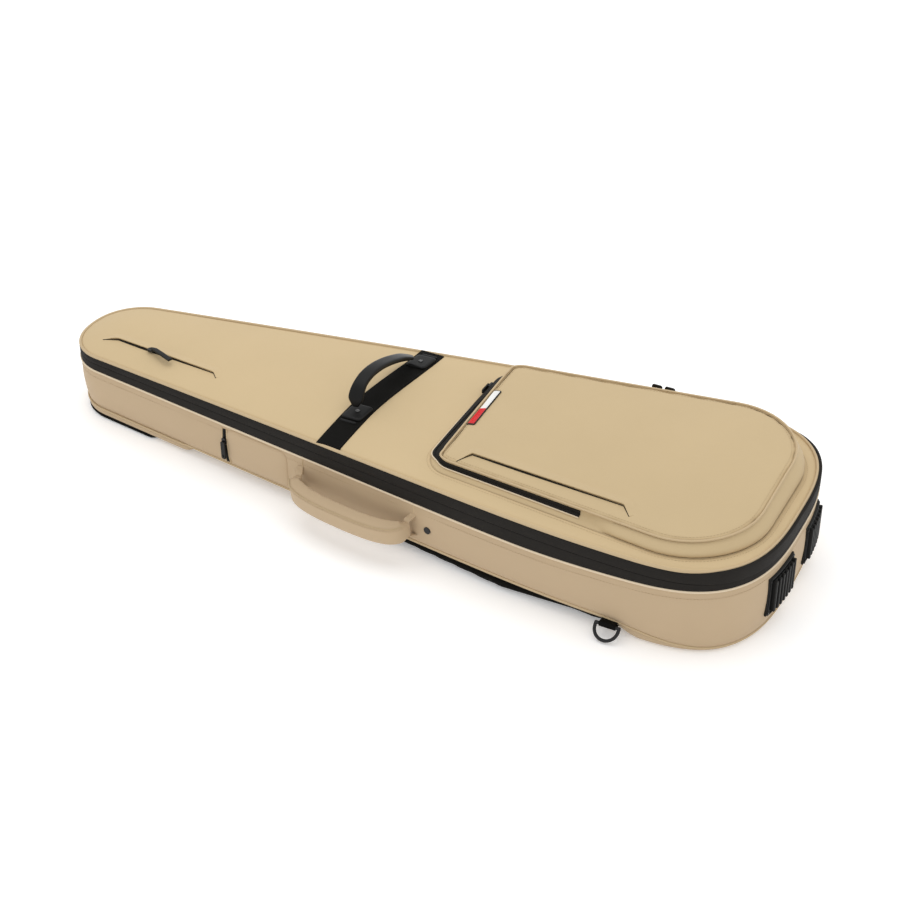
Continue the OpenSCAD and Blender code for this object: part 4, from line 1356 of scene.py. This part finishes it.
# %% Pocket zip
ZIP_TALL = 0.0085
zip_start = 320 - 62
zip_part = [k % 320 for k in range(zip_start, 320)] + [k for k in range(0, 160)
                                                      if pocket[k][0] < 0.299 or k < 20]


def gusset_out(x, y, z):
    low = float(lid_z(x, y)) + 0.0002
    high = float(face_edge_z(x, y)) - 0.0012
    across = inward(x, (z - low)/(high - low))
    return 0.0045 - (0.0045 + float(face_inset(x)))*float(across)


def zip_foot(x, y):
    """The band's lower edge: along the head edge it also covers the step below the slope."""
    high = float(face_edge_z(x, y)) - 0.0022
    return max(high - ZIP_TALL - 0.012*float(head_share(x)), float(lid_z(x, y)) + 0.004)


def pocket_band(x, y):
    heights = np.linspace(zip_foot(x, y), float(face_edge_z(x, y)) - 0.0022, 9)
    face = [(gusset_out(x, y, z) + 0.0010, z) for z in heights]
    return face + [(o - 0.0018, z) for o, z in reversed(face)]


band = sweep("pocket_zip_band", pocket_band, zip_part, pocket)
dress(band, "lid", zip_band, ["pocket_zip_tape"])
low_cord = [(*(pocket[k] + outward(pocket)[k]*(gusset_out(*pocket[k], z) + 0.0008)), z)
            for k in zip_part
            for z in [zip_foot(*pocket[k])]]
# This cord wears the paler cord tan too: a painted highlight.
dress(cord_on("pocket_zip_piping", [low_cord], 0.0010, highlight_cord, False), "lid")
band_line = [(*(pocket[k] + outward(pocket)[k]*(gusset_out(*pocket[k], z) + 0.0012)), z)
             for k in zip_part for z in [float(face_edge_z(*pocket[k])) - 0.0022 - ZIP_TALL/2]]
dress(along("pocket_teeth", [band_line], block_tree, coil_plastic, False, Pitch=0.0024,
            Across=0.0008, Tall=0.0026, Long=0.0013), "lid")
print("pocket zip of", len(zip_part), "stations")

# %% [markdown]
# The face is one padded piece. It and its piping, stitches and slash ride on no body, and their
# transforms are baked where they lie.


def fold(made):
    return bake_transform(made)


def face_row(drop, crown):
    return lambda x, y, share: float(face_edge_z(x, y)) - drop + crown*(1 - (1 - share)**2)


face_rows = [(0.004, 0.97, face_row(FACE_THICK, 0.002)), (0.004, 0.4, face_row(FACE_THICK, 0.002)),
             (0.004, 0, face_row(FACE_THICK, 0)), (0.0012, 0, face_row(0.0068, 0)),
             (0.0, 0, face_row(0.0045, 0)), (0.0004, 0, face_row(0.0018, 0)),
             (0.002, 0, face_row(0.0, 0)), (0.006, 0, face_row(-0.0012, 0))]
face_rows += [(0.006, share, face_row(-0.0012, 0.005))
              for share in (0.05, 0.12, 0.22, 0.35, 0.5, 0.7, 0.9, 0.97)]
face = dome("pocket_face_pad", face_loop, POCKET_SPINE, face_rows)
puff(face, 0.005, 3.0, 0.0055,
     lambda p: edge_ratio(face_loop, POCKET_SPINE, p[:, 0], p[:, 1]) > 0.93)
face_top = top_of(face)
dress(face, None, tan_pocket, replaces=["pocket_face", "pocket_flap"])
print("face height at its middle", round(face_top(0.29, 0.0), 4))

# %% Face edge, slash and badge
def face_rim(inset, lift):
    loop = face_loop - outward(face_loop)*inset
    return [(x, y, face_top(x, y) + lift) for x, y in loop]


rim_cord = [(*(p + n*0.0002), float(face_edge_z(*p)) + 0.0002)
            for p, n in zip(face_loop, outward(face_loop))]
piping = dress(cord_on("pocket_face_piping", rim_cord, 0.0015), None)
rim_stitches = dress(stitches("pocket_face_stitches", face_rim(0.0062, 0.0001), thick=0.0006), None)
# On the pocket face the dark strip in the cut is painted shade of the slip pocket's opening.
face_cut = [(0.117, -0.109), (0.131, -0.092), (0.3466, -0.112), (0.360, -0.127)]
face_ridge, face_shade_path, gape = slash("face_slash_cloth", face_cut, face_top, count=96,
                                   opening=0.0034)
dress(face_ridge, None, tan_pocket, replaces=["face_slash_lip"])
face_slash_shade = dress(loft("face_slash_opening_shade", face_shade_path, (0.145, 0.989, 0), gape, 0.0014, 5), None,
                  zip_band)
badge_loop = resample(rounded_box(2*BADGE_HALF[0], 2*BADGE_HALF[1], 0.0012, BADGE_MID), 80)
badge_plate = pad("badge_plate", badge_loop, [(0.001, -0.0008), (0, 0), (0, 0.0008), (0.0004, 0.0012),
                                              (0.0016, 0.0012), (0.0019, 0.0009)],
                  lambda x, y, h: (x, y, face_top(x, y) + h + 0.0005))
dress(badge_plate, "flap", badge.material, ["badge"])
for made in (face, piping, rim_stitches, face_ridge, face_slash_shade):
    fold(made)
print("face trimmed")

# %% [markdown]
# ## The CAD nodes that stay
# Sliders, pulls, rings, rivets and the eyelet already have the right shape. They only need their
# finishes.

# %% Finishes for CAD nodes
head_tab = loft("head_pull_cord", [(-0.4008, -0.0392, 0.1203), (-0.392, -0.0425, 0.1222),
                                   (-0.378, -0.0480, 0.1226), (-0.357, -0.0560, 0.1224)],
                (0.36, 0.93, 0), (0.003, 0.0066, 0.0072, 0.0072), (0.0024, 0.0030, 0.0030, 0.0026), 4)
dress(head_tab, "head_tab", rubber, ["head_pull"])
KEEP = {"side_pocket_slider": black_metal, "side_pocket_pull": rubber, "side_stud": black_metal,
        "foot_rivets": black_metal, "d_ring_near": black_metal, "d_ring_far": black_metal,
        "main_slider_a": black_metal, "main_slider_b": black_metal, "main_pull_a": rubber,
        "main_pull_b": rubber, "head_slider": black_metal,
        "pocket_slider": black_metal, "pocket_pull": rubber}
for node, material in KEEP.items():
    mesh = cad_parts[node].data
    mesh.materials.clear()
    mesh.materials.append(material)
print(len(KEEP), "CAD nodes dressed")

# %% [markdown]
# ## Measure
# The visual model has to stay in the CAD model's box, with a little room for cloth.

# %% Finish
lo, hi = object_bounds()
sizes = {"cad": [list(map(float, corner)) for corner in cad_box],
         "visual": [list(map(float, lo)), list(map(float, hi))]}
print("visual box", sizes["visual"])
